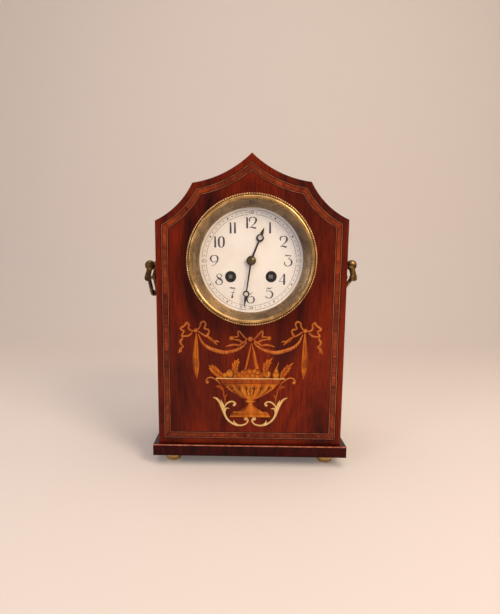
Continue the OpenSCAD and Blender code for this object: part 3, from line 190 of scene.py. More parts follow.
# The camera's place, and how far in degrees it looks down and to the left
camera_place = (-0.012, front_y - 0.5, 0.201)
look_down, look_left = 9.44, 2.38
eye = bpy.data.cameras.new("viewer")
eye.sensor_fit = "HORIZONTAL"
eye.sensor_width = 36
eye.lens = 36.29
eye.shift_x = 0.0654
eye.shift_y = 0.0918
eye.clip_start = 0.01
camera = bpy.data.objects.new("viewer", eye)
camera.location = camera_place
camera.rotation_euler = (math.radians(90 - look_down), 0, math.radians(look_left))
bpy.context.scene.collection.objects.link(camera)
bpy.context.scene.camera = camera
bpy.context.scene.view_settings.view_transform = "Standard"

# The mahogany case
# Plinth, front, sides, shaped top and back are french-polished mahogany boards, glued up
# over pine blocks. The polish is thin and glossy, and the wood has darkened under it.

figure = bpy.data.node_groups.new("wood_figure", "ShaderNodeTree")
for way, sockets in [("INPUT", {"Vector": "Vector", "Dark": "Color", "Middle": "Color", "Pale": "Color",
                                "Cloud": "Float", "Grain": "Float"}),
                     ("OUTPUT", {"Color": "Color", "Roughness": "Float", "Height": "Float"})]:
    for name, kind in sockets.items():
        figure.interface.new_socket(name, in_out=way, socket_type="NodeSocket" + kind)
given = add_node(figure, "NodeGroupInput").outputs


def drawn_noise(stretch, **noise):
    """Noise drawn out along the board, which lies along Z."""
    drawn = add_node(figure, "ShaderNodeMapping", {"Vector": given["Vector"], "Scale": (1, 1, stretch)})
    return add_node(figure, "ShaderNodeTexNoise", {"Vector": drawn.outputs[0], **noise}).outputs["Fac"]


def blend(tree, factor, low, high, **settings):
    """Two colours, mixed or multiplied."""
    return add_node(tree, "ShaderNodeMix", {"Factor": factor, 6: low, 7: high}, data_type="RGBA",
                    **settings).outputs[2]


# Slow clouds of light and dark wood, fibres as fine streaks, and pores as short dark dashes
cloud = drawn_noise(0.3, Scale=given["Cloud"], Detail=5.0, Roughness=0.62, Distortion=1.3)
clouds = spread(figure, cloud, 0.33, 0.68)
fibre = drawn_noise(0.045, Scale=given["Grain"], Detail=4.0, Roughness=0.7, Distortion=0.25)
fibres = spread(figure, fibre, 0.36, 0.66)
pores = spread(figure, drawn_noise(0.11, Scale=2600.0, Detail=1.0, Roughness=0.5), 0.6, 0.72)
streaks = reckon(figure, "MULTIPLY", reckon(figure, "MULTIPLY", fibres, clouds), 0.5)
streaked = blend(figure, streaks, blend(figure, clouds, given["Dark"], given["Middle"]), given["Pale"])
pored = blend(figure, reckon(figure, "MULTIPLY", pores, 0.35), streaked, given["Dark"])
add_node(figure, "NodeGroupOutput", {"Color": pored, "Roughness": spread(figure, fibre, 0.3, 0.7, 0.3, 0.44),
                                     "Height": reckon(figure, "SUBTRACT", fibre, pores)})


def add_relief(tree, shader, height, strength, depth):
    """Fine relief on a surface, from a height that changes over it."""
    relief = add_node(tree, "ShaderNodeBump", {"Height": height, "Strength": strength, "Distance": depth})
    tree.links.new(relief.outputs[0], shader.inputs["Normal"])


def grow_wood(tree, shader, place, dark, middle, pale, cloud, grain):
    """The wood figure in three tones, with its roughness on the shader; returns its outputs."""
    grown = add_node(tree, "ShaderNodeGroup", node_tree=figure)
    tree.links.new(place, grown.inputs["Vector"])
    for socket, value in {"Dark": tint(*dark), "Middle": tint(*middle), "Pale": tint(*pale), "Cloud": cloud,
                          "Grain": grain}.items():
        grown.inputs[socket].default_value = value
    tree.links.new(grown.outputs["Roughness"], shader.inputs["Roughness"])
    return grown.outputs


def new_wood(name, dark, middle, pale, cloud=17.0, grain=1000.0, turn=(0, 0, 0), shift=(0, 0, 0)):
    """Polished wood whose grain runs up the board, or along another way after a turn. The larger
    cloud and grain are, the finer are its clouds and its fibres."""
    mat, tree, shader = new_finish(name, Coat_Weight=0.13, Coat_Roughness=0.1, Coat_IOR=1.45,
                                   Specular_IOR_Level=0.08)
    place = add_node(tree, "ShaderNodeTexCoord").outputs["Object"]
    laid = add_node(tree, "ShaderNodeMapping", {"Vector": place, "Rotation": turn, "Location": shift})
    grown = grow_wood(tree, shader, laid.outputs[0], dark, middle, pale, cloud, grain)
    tree.links.new(grown["Color"], shader.inputs["Base Color"])
    add_relief(tree, shader, grown["Height"], 0.12, 0.0002)
    return mat


mahogany = new_wood("mahogany_front", (36, 3, 1), (110, 28, 5), (152, 60, 20))
mahogany_side = new_wood("mahogany_side", (32, 4, 2), (94, 26, 8), (130, 52, 22), shift=(0.3, 0.1, 0.2))
mahogany_along = new_wood("mahogany_top", (34, 5, 2), (100, 28, 9), (138, 56, 24), turn=(math.pi / 2, 0, 0))
mahogany_plinth = new_wood("mahogany_plinth", (26, 2, 1), (60, 6, 3), (84, 16, 7), cloud=60.0, grain=420.0)


def add_piece(name, form, mat, body):
    """Turns a finished bmesh into a piece of the clock that moves with one body."""
    mesh = bpy.data.meshes.new(name)
    form.to_mesh(mesh)
    form.free()
    piece = bpy.data.objects.new(name, mesh)
    bpy.context.scene.collection.objects.link(piece)
    mesh.materials.append(mat)
    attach(piece, body)
    return piece


def rounded_copy(name, node, mat, width, body="root", fuller=0.0):
    """A copy of a CAD piece with its arrises eased, as sandpaper and polish leave them. A cast
    piece is also made fuller all over, within the clock's own width."""
    flat_angle, crisp_angle = math.radians(1.0), math.radians(35)
    form = bmesh.new()
    form.from_mesh(nodes[node].data)
    bmesh.ops.remove_doubles(form, verts=form.verts, dist=1e-6)
    bmesh.ops.dissolve_limit(form, angle_limit=flat_angle, verts=form.verts, edges=form.edges)
    crisp = [e for e in form.edges if len(e.link_faces) == 2 and e.calc_face_angle() > crisp_angle]
    bmesh.ops.bevel(form, geom=crisp, offset=width, affect="EDGES", segments=2, profile=0.5, material=-1,
                    clamp_overlap=True)
    form.normal_update()
    for v in form.verts:
        v.co += v.normal * fuller
        v.co.x = max(cad_box[0][0], min(cad_box[1][0], v.co.x))
    for face in form.faces:
        face.smooth = True
    piece = add_piece(name, form, mat, body)
    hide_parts(node)
    eased = piece.modifiers.new("even_shading", "WEIGHTED_NORMAL")
    eased.keep_sharp = True


def finish_nodes(mat, *names):
    """Gives CAD pieces one finish."""
    for name in names:
        nodes[name].data.materials.clear()
        nodes[name].data.materials.append(mat)


finish_nodes(mahogany_side, "case_left_side", "case_right_side", "case_back")
rounded_copy("front_board", "case_front", mahogany, 0.0003)
rounded_copy("shaped_top", "case_top", mahogany_along, 0.0003)
rounded_copy("plinth_board", "plinth", mahogany_plinth, 0.0004)

# Stringing and crossbanding
# Inlaid round the front: a strip of mahogany with its grain across, cut in short lengths,
# between two boxwood lines, each with a fine dark string beside it, all polished flush.

# The corners of the front, the radii of its two hollow sweeps, and how finely each is followed
half_width, base_z = front_high.x, front_low.z
low_corner = Vector((half_width, 0.2475))
high_corner = Vector((0.0568, 0.2825))
peak = Vector((0, front_high.z))
low_sweep, high_sweep = 0.076, 0.102
side_heights, sweep_steps, base_steps = (0.1, 0.17), 14, 6


def sweep_middle(p, q, radius):
    """Middle of the circle of that radius through two corners of the case."""
    d = q - p
    return (p + q) / 2 + Vector((-d.y, d.x)) * math.sqrt(radius ** 2 - d.length ** 2 / 4) / d.length


low_middle = sweep_middle(high_corner, low_corner, low_sweep)
high_middle = sweep_middle(peak, high_corner, high_sweep)


def case_outline(inset):
    """Points round the front, moved in by inset: the sides, both hollow sweeps, and the base."""
    # low is where the side meets the first sweep, mid where the sweeps meet, top where both sides do
    low_r, high_r = low_sweep + inset, high_sweep + inset
    side = half_width - inset
    low = Vector((side, low_middle.y - math.sqrt(low_r ** 2 - (side - low_middle.x) ** 2)))
    d = high_middle - low_middle
    along = (d.length ** 2 + low_r ** 2 - high_r ** 2) / (2 * d.length)
    mid = low_middle + d * along / d.length + Vector((-d.y, d.x)) * (
        math.sqrt(low_r ** 2 - along ** 2) / d.length)
    top = Vector((0, high_middle.y - math.sqrt(high_r ** 2 - high_middle.x ** 2)))
    right = [Vector((side, z)) for z in (base_z + inset, *side_heights)]
    for middle, p, q in [(low_middle, low, mid), (high_middle, mid, top)]:
        a, b = (math.atan2(*(c - middle).yx) for c in (p, q))
        if b - a > math.pi:
            b -= 2 * math.pi
        if a - b > math.pi:
            b += 2 * math.pi
        r = (p - middle).length
        for i in range(sweep_steps):
            turned = a + (b - a) * i / sweep_steps
            right.append(middle + Vector((r * math.cos(turned), r * math.sin(turned))))
    left = [Vector((-p.x, p.y)) for p in reversed(right)]
    base = [Vector((-side + 2 * side * i / base_steps, base_z + inset)) for i in range(1, base_steps + 1)]
    return right + [top] + left + base


def lay_strip(form, edges, proud):
    """A flat strip of veneer through pairs of edge points (x, z). Its UV map runs along it in
    metres and across it from 0 to 1."""
    uv = form.loops.layers.uv.verify()
    y = front_y - proud
    start = [form.verts.new((p[0], y, p[1])) for p in edges[0]]
    tail = form.edges.new(start)
    place = {start[0]: (0, 0), start[1]: (0, 1)}
    run = 0
    for before, pair in zip(edges, edges[1:]):
        grown = bmesh.ops.extrude_edge_only(form, edges=[tail])["geom"]
        tail = next(g for g in grown if isinstance(g, bmesh.types.BMEdge))
        old = Vector((before[0][0], y, before[0][1]))
        ends = sorted(tail.verts, key=lambda v: (v.co - old).length)
        run += ((Vector(pair[0]) + Vector(pair[1])) / 2 - (Vector(before[0]) + Vector(before[1])) / 2).length
        for end, p, across in zip(ends, pair, (0, 1)):
            end.co = (p[0], y, p[1])
            place[end] = (run, across)
    for v, at in place.items():
        for loop in v.link_loops:
            loop[uv].uv = at


def bed_veneer(form, thick=0.00006):
    """Gives flat strips the thickness of the veneer, with its face outwards."""
    for face in form.faces:
        if face.normal.y > 0:
            face.normal_flip()
    bmesh.ops.solidify(form, geom=form.faces[:], thickness=thick)
    bmesh.ops.recalc_face_normals(form, faces=form.faces)


def new_cross_band():
    """Crossbanding: grain across the strip, and a change of tone at each joint."""
    band_width, length_cut, joint_share = 0.0046, 0.027, 0.012
    mat, tree, shader = new_finish("cross_banding", Coat_Weight=0.18, Coat_Roughness=0.1,
                                   Specular_IOR_Level=0.08)
    laid = add_node(tree, "ShaderNodeSeparateXYZ", {0: add_node(tree, "ShaderNodeTexCoord").outputs["UV"]})
    along, across = laid.outputs["X"], laid.outputs["Y"]
    along_wide = {"X": along, "Z": reckon(tree, "MULTIPLY", across, band_width)}
    turned = add_node(tree, "ShaderNodeCombineXYZ", along_wide).outputs[0]
    grown = grow_wood(tree, shader, turned, (84, 22, 6), (134, 52, 24), (172, 84, 44), 130.0, 1500.0)
    cuts = reckon(tree, "DIVIDE", along, length_cut)
    luck = add_node(tree, "ShaderNodeTexWhiteNoise", {"W": reckon(tree, "FLOOR", cuts)},
                    noise_dimensions="1D")
    tone = spread(tree, luck.outputs["Value"], 0.0, 1.0, 0.62, 1.22)
    joint = spread(tree, reckon(tree, "FRACT", cuts), 0.0, joint_share, 0.35)
    shade = reckon(tree, "MULTIPLY", tone, joint)
    grey = add_node(tree, "ShaderNodeCombineColor", {0: shade, 1: shade, 2: shade}).outputs[0]
    tree.links.new(blend(tree, 1.0, grown["Color"], grey, blend_type="MULTIPLY"),
                   shader.inputs["Base Color"])
    return mat


band_outer, band_inner, band_proud, band_thick = 0.0069, 0.0115, 0.00004, 0.001
form = bmesh.new()
lay_strip(form, list(zip(case_outline(band_inner), case_outline(band_outer))), band_proud)
bed_veneer(form, band_thick)
band = add_piece("crossbanding", form, new_cross_band(), "root")
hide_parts("front_banding")


def new_mottled(name, scale, stops, detail=2.0, **plain):
    """A finish that changes tone in patches; returns what new_finish does, and the patches."""
    mat, tree, shader = new_finish(name, **plain)
    patches = add_node(tree, "ShaderNodeTexNoise",
                       {"Vector": add_node(tree, "ShaderNodeTexCoord").outputs["Object"], "Scale": scale,
                        "Detail": detail}).outputs["Fac"]
    tree.links.new(new_ramp(tree, patches, stops), shader.inputs["Base Color"])
    return mat, tree, shader, patches


ebony = new_mottled("ebonised_string", 900.0, [(0.35, tint(24, 8, 6)), (0.7, tint(58, 20, 13))],
                    Coat_Weight=0.25, Coat_Roughness=0.1, Roughness=0.4, Specular_IOR_Level=0.08)[0]
string_insets = [(0.0054, 0.00618), (0.00672, 0.0074), (0.011, 0.01168), (0.01222, 0.013)]
string_proud = 0.00008
form = bmesh.new()
for near, far in string_insets:
    lay_strip(form, list(zip(case_outline(far), case_outline(near))), string_proud)
bed_veneer(form)
add_piece("dark_strings", form, ebony, "root")

boxwood = new_wood("boxwood_line", (124, 62, 32), (170, 98, 60), (200, 128, 84), cloud=90.0, grain=900.0)
finish_nodes(boxwood, "front_stringing")

# The plinth's upper edge has a pale line, its lower edge a dark one, and between them is wood
lower_top, upper_base = 0.0165, 0.017
edge_line, tree, shader = new_finish("plinth_line", Coat_Weight=0.25, Coat_Roughness=0.1, Roughness=0.4,
                                     Specular_IOR_Level=0.08)
place = add_node(tree, "ShaderNodeTexCoord").outputs["Object"]
height = add_node(tree, "ShaderNodeSeparateXYZ", {0: place}).outputs["Z"]
mottle = add_node(tree, "ShaderNodeTexNoise", {"Vector": place, "Scale": 260.0})
pale = new_ramp(tree, mottle.outputs["Fac"], [(0.3, tint(140, 70, 50)), (0.7, tint(200, 128, 98))])
tree.links.new(blend(tree, spread(tree, height, lower_top, upper_base), tint(46, 12, 9), pale),
               shader.inputs["Base Color"])
finish_nodes(edge_line, "plinth_stringing")

# Marquetry
# A fruit-filled urn under ribbon bows and swags, cut with a fretsaw in satinwood, boxwood
# and stained woods, shaded in hot sand and engraved, then let into the front flush.

pieces_laid = itertools.count()


def own_level(proud):
    """A level that no piece nearby shares, a few thousandths of a millimetre from theirs."""
    level_count, level_step = 16, 0.000003
    return proud + next(pieces_laid) % level_count * level_step


def smooth_points(points, steps=7):
    """Points along a smooth curve through (x, z, width) points."""
    ends = [points[0]] + points + [points[-1]]
    made = []
    for a, b, c, d in zip(ends, ends[1:], ends[2:], ends[3:]):
        for i in range(steps):
            t = i / steps
            made.append(tuple(0.5 * (2 * q + (r - p) * t + (2 * p - 5 * q + 4 * r - s) * t * t
                                     + (3 * q - p - 3 * r + s) * t ** 3) for p, q, r, s in zip(a, b, c, d)))
    return made + [points[-1]]


def lay_stroke(form, points, proud, middle=0.0, steps=7, sides=(1, -1), grow=0.0):
    """A strip of changing width along a smooth curve, in millimetres, on one or both sides; grow
    makes all of it wider."""
    thinnest = 0.12
    smooth = smooth_points(points, steps)
    for side in sides:
        edges = []
        for i, (x, z, w) in enumerate(smooth):
            p, q = smooth[max(i - 1, 0)], smooth[min(i + 1, len(smooth) - 1)]
            d = Vector((q[0] - p[0], q[1] - p[1])).normalized() * max(w + grow, thinnest) / 2
            edges.append([Vector((middle + side * (x - k * d.y), z + k * d.x)) / 1000 for k in (1, -1)])
        lay_strip(form, edges, own_level(proud))


def lay_disc(form, x, z, wide, high, proud, middle=0.0, sides=(1, -1), segments=20):
    """A round or oval piece whose UV map runs from its middle, 0, to its rim, 1."""
    uv = form.loops.layers.uv.verify()
    for side in sides:
        at = (Matrix.Translation(((middle + side * x) / 1000, front_y - own_level(proud), z / 1000))
              @ Matrix.Rotation(math.pi / 2, 4, "X") @ Matrix.Diagonal((wide / 2000, high / 2000, 1, 1)))
        made = bmesh.ops.create_circle(form, cap_ends=True, cap_tris=True, radius=1, segments=segments,
                                       matrix=at)["verts"]
        # Only the vertex in the middle has more than three faces round it
        for v in made:
            for loop in v.link_loops:
                loop[uv].uv = (0, 0 if len(v.link_faces) > 3 else 1)


def lay_leaf(form, spine, proud, middle=0.0, sides=(1, -1), lobes=3):
    """A feathered leaf: pointed lobes down both sides of a curved spine. Each starts a little
    behind its point of the spine, swells outwards, and ends in a tip that leans ahead."""
    smooth = smooth_points(spine, lobes)
    for i, (x, z, w) in enumerate(smooth[:-1]):
        p, q = smooth[max(i - 1, 0)], smooth[i + 1]
        d = Vector((q[0] - p[0], q[1] - p[1])).normalized()
        for k in (1, -1):
            out = Vector((-d.y, d.x)) * k
            bulge = Vector((x, z)) + d * w * 0.16 + out * w * 0.24
            tip = Vector((x, z)) + d * w * 0.62 + out * w * 0.44
            lay_stroke(form, [(x - d.x * w * 0.16, z - d.y * w * 0.16, 0.4), (bulge.x, bulge.y, w * 0.42),
                              (tip.x, tip.y, 0.3)], proud, middle, steps=4, sides=sides)


def new_veneer(name, dark, middle, pale, burn=0.75):
    """A shaded veneer: fine grain, and one edge of each strip burnt in hot sand."""
    mat, tree, shader = new_finish(name, Coat_Weight=0.18, Coat_Roughness=0.1, Specular_IOR_Level=0.08)
    coords = add_node(tree, "ShaderNodeTexCoord").outputs
    grown = grow_wood(tree, shader, coords["Object"], dark, middle, pale, 170.0, 1700.0)
    across = add_node(tree, "ShaderNodeSeparateXYZ", {0: coords["UV"]}).outputs["Y"]
    patch = add_node(tree, "ShaderNodeTexNoise", {"Vector": coords["Object"], "Scale": 320.0}).outputs["Fac"]
    edge = spread(tree, reckon(tree, "MULTIPLY_ADD", patch, 0.5, across), 0.78, 1.25, 0.0, burn,
                  interpolation_type="SMOOTHSTEP")
    tree.links.new(blend(tree, edge, grown["Color"], tint(92, 34, 10)), shader.inputs["Base Color"])
    return mat


ribbon_wood = new_veneer("ribbon_veneer", (158, 76, 26), (204, 112, 46), (226, 142, 74), burn=0.6)
satinwood = new_veneer("satinwood_veneer", (162, 74, 10), (204, 106, 22), (230, 138, 44))
pale_wood = new_veneer("boxwood_veneer", (206, 150, 84), (234, 194, 124), (250, 224, 162), burn=0.35)
golden_wood = new_veneer("golden_veneer", (172, 88, 14), (210, 124, 32), (234, 156, 60), burn=0.8)
dark_wood = new_veneer("urn_band_veneer", (136, 56, 12), (170, 78, 22), (200, 102, 36), burn=0.5)
burnt = new_mottled("engraved_line", 700.0, [(0.3, tint(62, 20, 6)), (0.75, tint(112, 48, 16))],
                    Coat_Weight=0.25, Coat_Roughness=0.1, Roughness=0.5, Specular_IOR_Level=0.08)[0]


def let_in(name, form, wood):
    """Lets the strips of one wood into the front, as one piece."""
    bed_veneer(form)
    add_piece(name, form, wood, "root")


# The pieces are laid in three levels, one just over the other, measured from the case face
ground, over, top_level = 0.00010, 0.00017, 0.00024
# How far the bows, the urn and its fruit sit right of the case's middle, in millimetres
bows_x, urn_x, fruit_x = 0.2, 0.8, 1.0
# A piece is laid twice, as a pair across that middle, unless it is laid on one side
one_side = (1,)

# Ribbon: the bows with their tails and knots, the middle bow's loops, and the swags
form = bmesh.new()
for points in [
        [(-55.9, 140.1, 0.8), (-59.3, 140.5, 1.3), (-61.7, 142.9, 1.4), (-61.3, 146.2, 1.6),
         (-63.8, 148.5, 1.8), (-65.6, 145.7, 1.6), (-70, 142.5, 1.8), (-68, 140.4, 1.3),
         (-65.8, 139.9, 0.7)],
        [(-66.1, 139.8, 0.8), (-68, 136.9, 1.4), (-68.7, 134.8, 1.8), (-65.2, 134.6, 1.5),
         (-61.4, 135.3, 1.8), (-58, 138.5, 0.8)],
        [(-67.8, 133.3, 0.8), (-68.6, 131.8, 1.8), (-70.3, 129.2, 2.1), (-69.2, 126.1, 1.4),
         (-67.1, 124.1, 1.1), (-69.7, 122.4, 2), (-72.1, 117.5, 0.8)],
        [(-69.5, 122.9, 1), (-69.6, 120.3, 1.1), (-69.4, 118.3, 0.5)],
        [(-52.8, 141.1, 0.8), (-50.3, 144.2, 1.3), (-49.3, 148.1, 1.5), (-46.4, 149.3, 1.7),
         (-44.6, 146.8, 1.5), (-46, 142.5, 1.4), (-42.1, 141.3, 1.7), (-41.1, 139.4, 1.3)],
        [(-41.1, 139.4, 1.1), (-42.6, 136.6, 2.2), (-44.2, 135, 2), (-47.3, 136.5, 1.3),
         (-51.9, 139.6, 0.9)],
        [(-35.8, 129.4, 1.3), (-33.2, 129.7, 1.5), (-31, 128.6, 0.5)],
        [(-3.1, 131.6, 0.7), (-6.7, 135, 1.4), (-11.1, 139.9, 1.3), (-12.5, 138.8, 1.3),
         (-12.3, 134.6, 1.2), (-16.1, 134.4, 1)],
        [(-16.6, 131.6, 1), (-11.2, 130.7, 1.3), (-7.5, 128.6, 1.3), (-3.7, 131, 0.7)],
        [(-3.7, 129.2, 0.6), (-7.9, 128, 1.3), (-11.4, 125.8, 1.3), (-15, 126.4, 1.7), (-19.4, 126, 1.6),
         (-24.5, 124.3, 0.4)]]:
    lay_stroke(form, points, ground, middle=bows_x, grow=0.25)
lay_disc(form, -54.4, 140.5, 4.4, 4.2, over, middle=bows_x)
lay_disc(form, 0, 132.1, 5.2, 5, over, middle=bows_x, sides=one_side)
# Each swag is a band with a scalloped lower edge
trail = smooth_points([(-52, 136.6, 1), (-49.6, 130.8, 2.4), (-46.8, 126.7, 3), (-42.2, 123.1, 3.7),
                       (-36, 120.6, 4.1), (-29.9, 118.9, 4.1), (-25.8, 118.3, 3.9), (-19.6, 119.2, 3.4),
                       (-14, 120.8, 3), (-8.9, 123.5, 2.5), (-3.6, 128.3, 1)], 2)
lay_stroke(form, [(x, z + w * 0.2, w * 0.56) for x, z, w in trail], ground, middle=bows_x, steps=3)
for (x, z, w), (far_x, far_z, _) in zip(trail, trail[1:]):
    d = Vector((far_x - x, far_z - z))
    low = Vector((d.y, -d.x)).normalized() * w
    lay_stroke(form, [(x - d.x * 0.3, z - d.y * 0.3, w * 0.3),
                      (x + d.x * 0.4 + low.x * 0.1, z + d.y * 0.4 + low.y * 0.1, w * 0.56),
                      (x + d.x * 0.95 + low.x * 0.52, z + d.y * 0.95 + low.y * 0.52, 0.2)],
               over, middle=bows_x, steps=4)
let_in("marquetry_bows", form, ribbon_wood)

# Satinwood: the drops, the cords, the urn and its foot, its leaves and the small fruit
form = bmesh.new()
for points in [
        [(-54.2, 137.8, 0.9), (-54.4, 130.8, 3.1), (-54.7, 122, 4.9), (-55, 113.1, 6.1),
         (-54.7, 107.4, 6.5), (-54.5, 102.1, 5.9), (-54.2, 96.8, 3.4), (-53.8, 91.3, 0.3)],
        [(-42.7, 134.2, 0.8), (-41.4, 133.2, 2.6), (-38.6, 130.9, 2.9), (-35.8, 128.6, 2),
         (-33.2, 126, 0.7)]]:
    lay_stroke(form, points, ground, middle=bows_x)
for points in [
        [(0.4, 127.8, 0.5), (-1.6, 118.2, 1.7), (-4.4, 105.1, 2), (-6.4, 97.8, 2.4)],
        [(0.9, 127.5, 0.5), (3.3, 117.5, 2.4), (4.8, 108.2, 3.4), (6.4, 101.6, 4)],
        [(0, 86.2, 57), (0, 84.8, 53), (0, 83, 49.5), (0, 80.7, 45), (0, 77.6, 37.4), (0, 74.6, 28),
         (0, 71.6, 16.5), (0, 69.5, 5)],
        [(0, 66.6, 4.2), (0, 64.6, 4.8), (0, 62.4, 8.8), (0, 59.8, 16.2), (0, 57.2, 24)],
        [(0, 55.6, 37), (0, 54.1, 38.6), (0, 52.6, 40.2)]]:
    lay_stroke(form, points, ground, middle=urn_x, sides=one_side)
for spine in [
        [(-26.4, 92.2, 5), (-29.4, 94, 7), (-32.4, 96.4, 8), (-35.4, 99.2, 7.6), (-38, 101.8, 6),
         (-42.4, 105.4, 0.6)],
        [(-14.4, 95.6, 5), (-15.4, 99.4, 6.4), (-15.7, 103.2, 7), (-14.8, 106.8, 6), (-12, 112.4, 0.6)],
        [(14.8, 95.6, 5), (14.8, 99.8, 6.2), (15.2, 103.6, 6.8), (16.8, 107.2, 6), (22, 113.2, 0.6)],
        [(30.8, 92.6, 5), (32.4, 95.6, 6.6), (34.4, 98.8, 6.6), (36.6, 102.2, 5.6), (42.6, 108.4, 0.6)]]:
    lay_leaf(form, spine, over, middle=fruit_x, sides=one_side, lobes=1)
    lay_stroke(form, [(x, z, w * 0.66) for x, z, w in spine], ground, middle=fruit_x, sides=one_side)
for x, z, wide, high in [(-15.6, 94.4, 5, 5.4), (-11.8, 95.6, 5.6, 6.6), (-8.4, 94.4, 5, 5),
                         (-5.6, 97.4, 6.4, 6.4), (-1.4, 98.8, 6.4, 6.6), (-3.2, 94.4, 6, 5.4),
                         (2.2, 95, 6.4, 6), (3.6, 98.8, 5.6, 5.8), (7.8, 97.6, 6.6, 6.8),
                         (7, 94, 5.4, 4.8), (11.4, 95.6, 5.4, 6.2), (-8.2, 98, 4.6, 4.6)]:
    lay_disc(form, x, z, wide, high, over, middle=fruit_x, sides=one_side)
lay_disc(form, -2, 93.6, 30, 8, ground, middle=fruit_x, sides=one_side, segments=32)
let_in("marquetry_satinwood", form, satinwood)

# Golden: the balls of the middle bow, the large fruit, the foot's mouldings and the acanthus
form = bmesh.new()
lay_disc(form, -18.6, 133, 5, 4.8, over, middle=bows_x)
for x, z, wide, high in [(-26.4, 94.9, 5.4, 5), (-21.2, 96.8, 8, 8.6), (16.6, 96.2, 7.8, 7.8),
                         (25.3, 95.8, 7.4, 7.4), (25.6, 99.6, 4.2, 5.6)]:
    lay_disc(form, x, z, wide, high, over, middle=fruit_x, sides=one_side)
lay_stroke(form, [(25.6, 101.6, 2), (26.8, 105, 0.9), (28, 108.6, 0.5)], over, middle=fruit_x,
           sides=one_side)
for points in [[(-17.3, 56.4, 1.1), (0, 56.4, 1.1), (17.3, 56.4, 1.1)],
               [(-20.4, 51.9, 1.3), (0, 51.9, 1.3), (20.4, 51.9, 1.3)]]:
    lay_stroke(form, points, top_level, middle=urn_x, sides=one_side)
lay_disc(form, 0, 68, 11.2, 2.9, top_level, middle=urn_x, sides=one_side)
lay_leaf(form, [(0, 70.4, 3), (0, 74.4, 6), (0, 79, 7.6), (0, 83.4, 3)], over, middle=urn_x, sides=one_side,
         lobes=2)
for spine in [[(3.4, 72, 1.6), (7, 75.6, 4), (9.2, 79.6, 4.8), (10, 83.6, 1.6)],
              [(8.4, 74.4, 1.6), (13.2, 77.6, 3.8), (16.6, 81.2, 4.2), (18.2, 84.4, 1.4)],
              [(16, 77.6, 1.4), (20.6, 80.6, 3), (24.4, 84, 1.6)]]:
    lay_leaf(form, spine, over, middle=urn_x, lobes=2)
let_in("marquetry_golden", form, golden_wood)

# Pale: the urn's lip, and the foliate scrolls that hold it up
form = bmesh.new()
for points in [
        [(-37.6, 71.9, 0.6), (-34, 70.2, 2.1), (-31.2, 66.7, 2.3), (-28.9, 62, 2.6), (-27, 57.8, 3.1),
         (-25.8, 53.5, 2.2), (-23.2, 48.8, 1.9), (-19.2, 45.2, 1.9), (-14, 42.9, 2.2), (-8.9, 42.5, 1.7),
         (-4.8, 43.8, 1.5), (-2.2, 46.9, 1.4), (-2.6, 49.4, 1.7)],
        [(-30.1, 69.4, 0.4), (-28.6, 65.7, 1.8), (-26.8, 60.4, 2.3), (-26.4, 57.8, 1)],
        [(-26.5, 60.7, 1), (-24.4, 64.6, 1.5), (-21.2, 67.1, 1.6), (-17.8, 67.5, 1.5),
         (-15.2, 65.5, 1.8), (-15.7, 64, 1.5)],
        [(-25.6, 57.3, 1.5), (-24.4, 60.4, 1.5), (-21.2, 60.2, 0.5)],
        [(-12.4, 43, 1.2), (-15.5, 44.7, 1.7), (-16.8, 47.8, 0.5)]]:
    lay_stroke(form, points, ground, middle=urn_x)
lay_disc(form, -16.4, 63.9, 2.8, 2.7, over, middle=urn_x)
lay_disc(form, -4.2, 49.5, 3.9, 3.8, over, middle=urn_x)
lay_stroke(form, [(-35, 91.6, 1.1), (0, 91.6, 1.1), (35, 91.6, 1.1)], top_level, middle=urn_x,
           sides=one_side)
let_in("marquetry_scrolls", form, pale_wood)

# Stained: the deep band under the urn's lip, and the thin stems beside the bowl
form = bmesh.new()
lay_stroke(form, [(0, 90.9, 62), (0, 89, 60.4), (0, 87.2, 58.6), (0, 86, 56.4)], over, middle=urn_x,
           sides=one_side)
for points in [
        [(-31, 85.9, 0.7), (-28.1, 80.7, 1.3), (-26.9, 74.6, 1.2), (-25.8, 69.3, 1.3), (-25.7, 64.6, 0.6)],
        [(-35.2, 82.5, 0.9), (-32.8, 83.1, 1.8), (-30, 80.8, 0.7)],
        [(-32.8, 84.4, 0.5), (-31, 82.8, 1.3), (-29, 79.7, 0.6)],
        [(-23.4, 75.4, 0.4), (-24.7, 73.5, 1.4), (-25.9, 70.7, 0.6)]]:
    lay_stroke(form, points, ground, middle=urn_x, grow=0.2)
let_in("marquetry_stained", form, dark_wood)

# Ribbon wood again: the urn's handles, curled outwards
form = bmesh.new()
lay_stroke(form, [(-30.5, 86, 0.5), (-33.2, 89, 1.4), (-37.1, 91.7, 1.4), (-40.6, 92.7, 1.4),
                  (-43.8, 91.5, 1.4),
                  (-45.2, 88.7, 1.6)], over, middle=urn_x)
lay_disc(form, -43.9, 87.8, 3.6, 3.5, top_level, middle=urn_x)
let_in("marquetry_handles", form, ribbon_wood)

# Engraving: hatching, veins, reeds and the rounds of the fruit, cut in and filled dark
form = bmesh.new()
hatch_x, hatch_z, hatch_reach, hatch_rise, hatch_gap, hatch_width = -54.8, 107.6, 2.8, 1.5, 1.25, 0.3
for k in range(-3, 4):
    for lean in (-1, 1):
        z = hatch_z + k * hatch_gap
        lay_stroke(form, [(hatch_x - hatch_reach * lean, z - hatch_rise, hatch_width),
                          (hatch_x + hatch_reach * lean, z + hatch_rise, hatch_width)], over, middle=bows_x,
                   steps=1)
for points in [
        [(-54.1, 134, 0.25), (-54, 122, 0.4), (-53.6, 112, 0.4)],
        [(-54.4, 103, 0.4), (-54.1, 97, 0.35), (-53.9, 93, 0.2)],
        [(-40.6, 132.9, 0.3), (-38, 130.6, 0.4), (-35.4, 128.2, 0.3)],
        [(-39.6, 132.8, 0.25), (-40.4, 131, 0.35)], [(-37.8, 131.2, 0.25), (-38.8, 129.6, 0.35)]]:
    lay_stroke(form, points, over, middle=bows_x, steps=4)
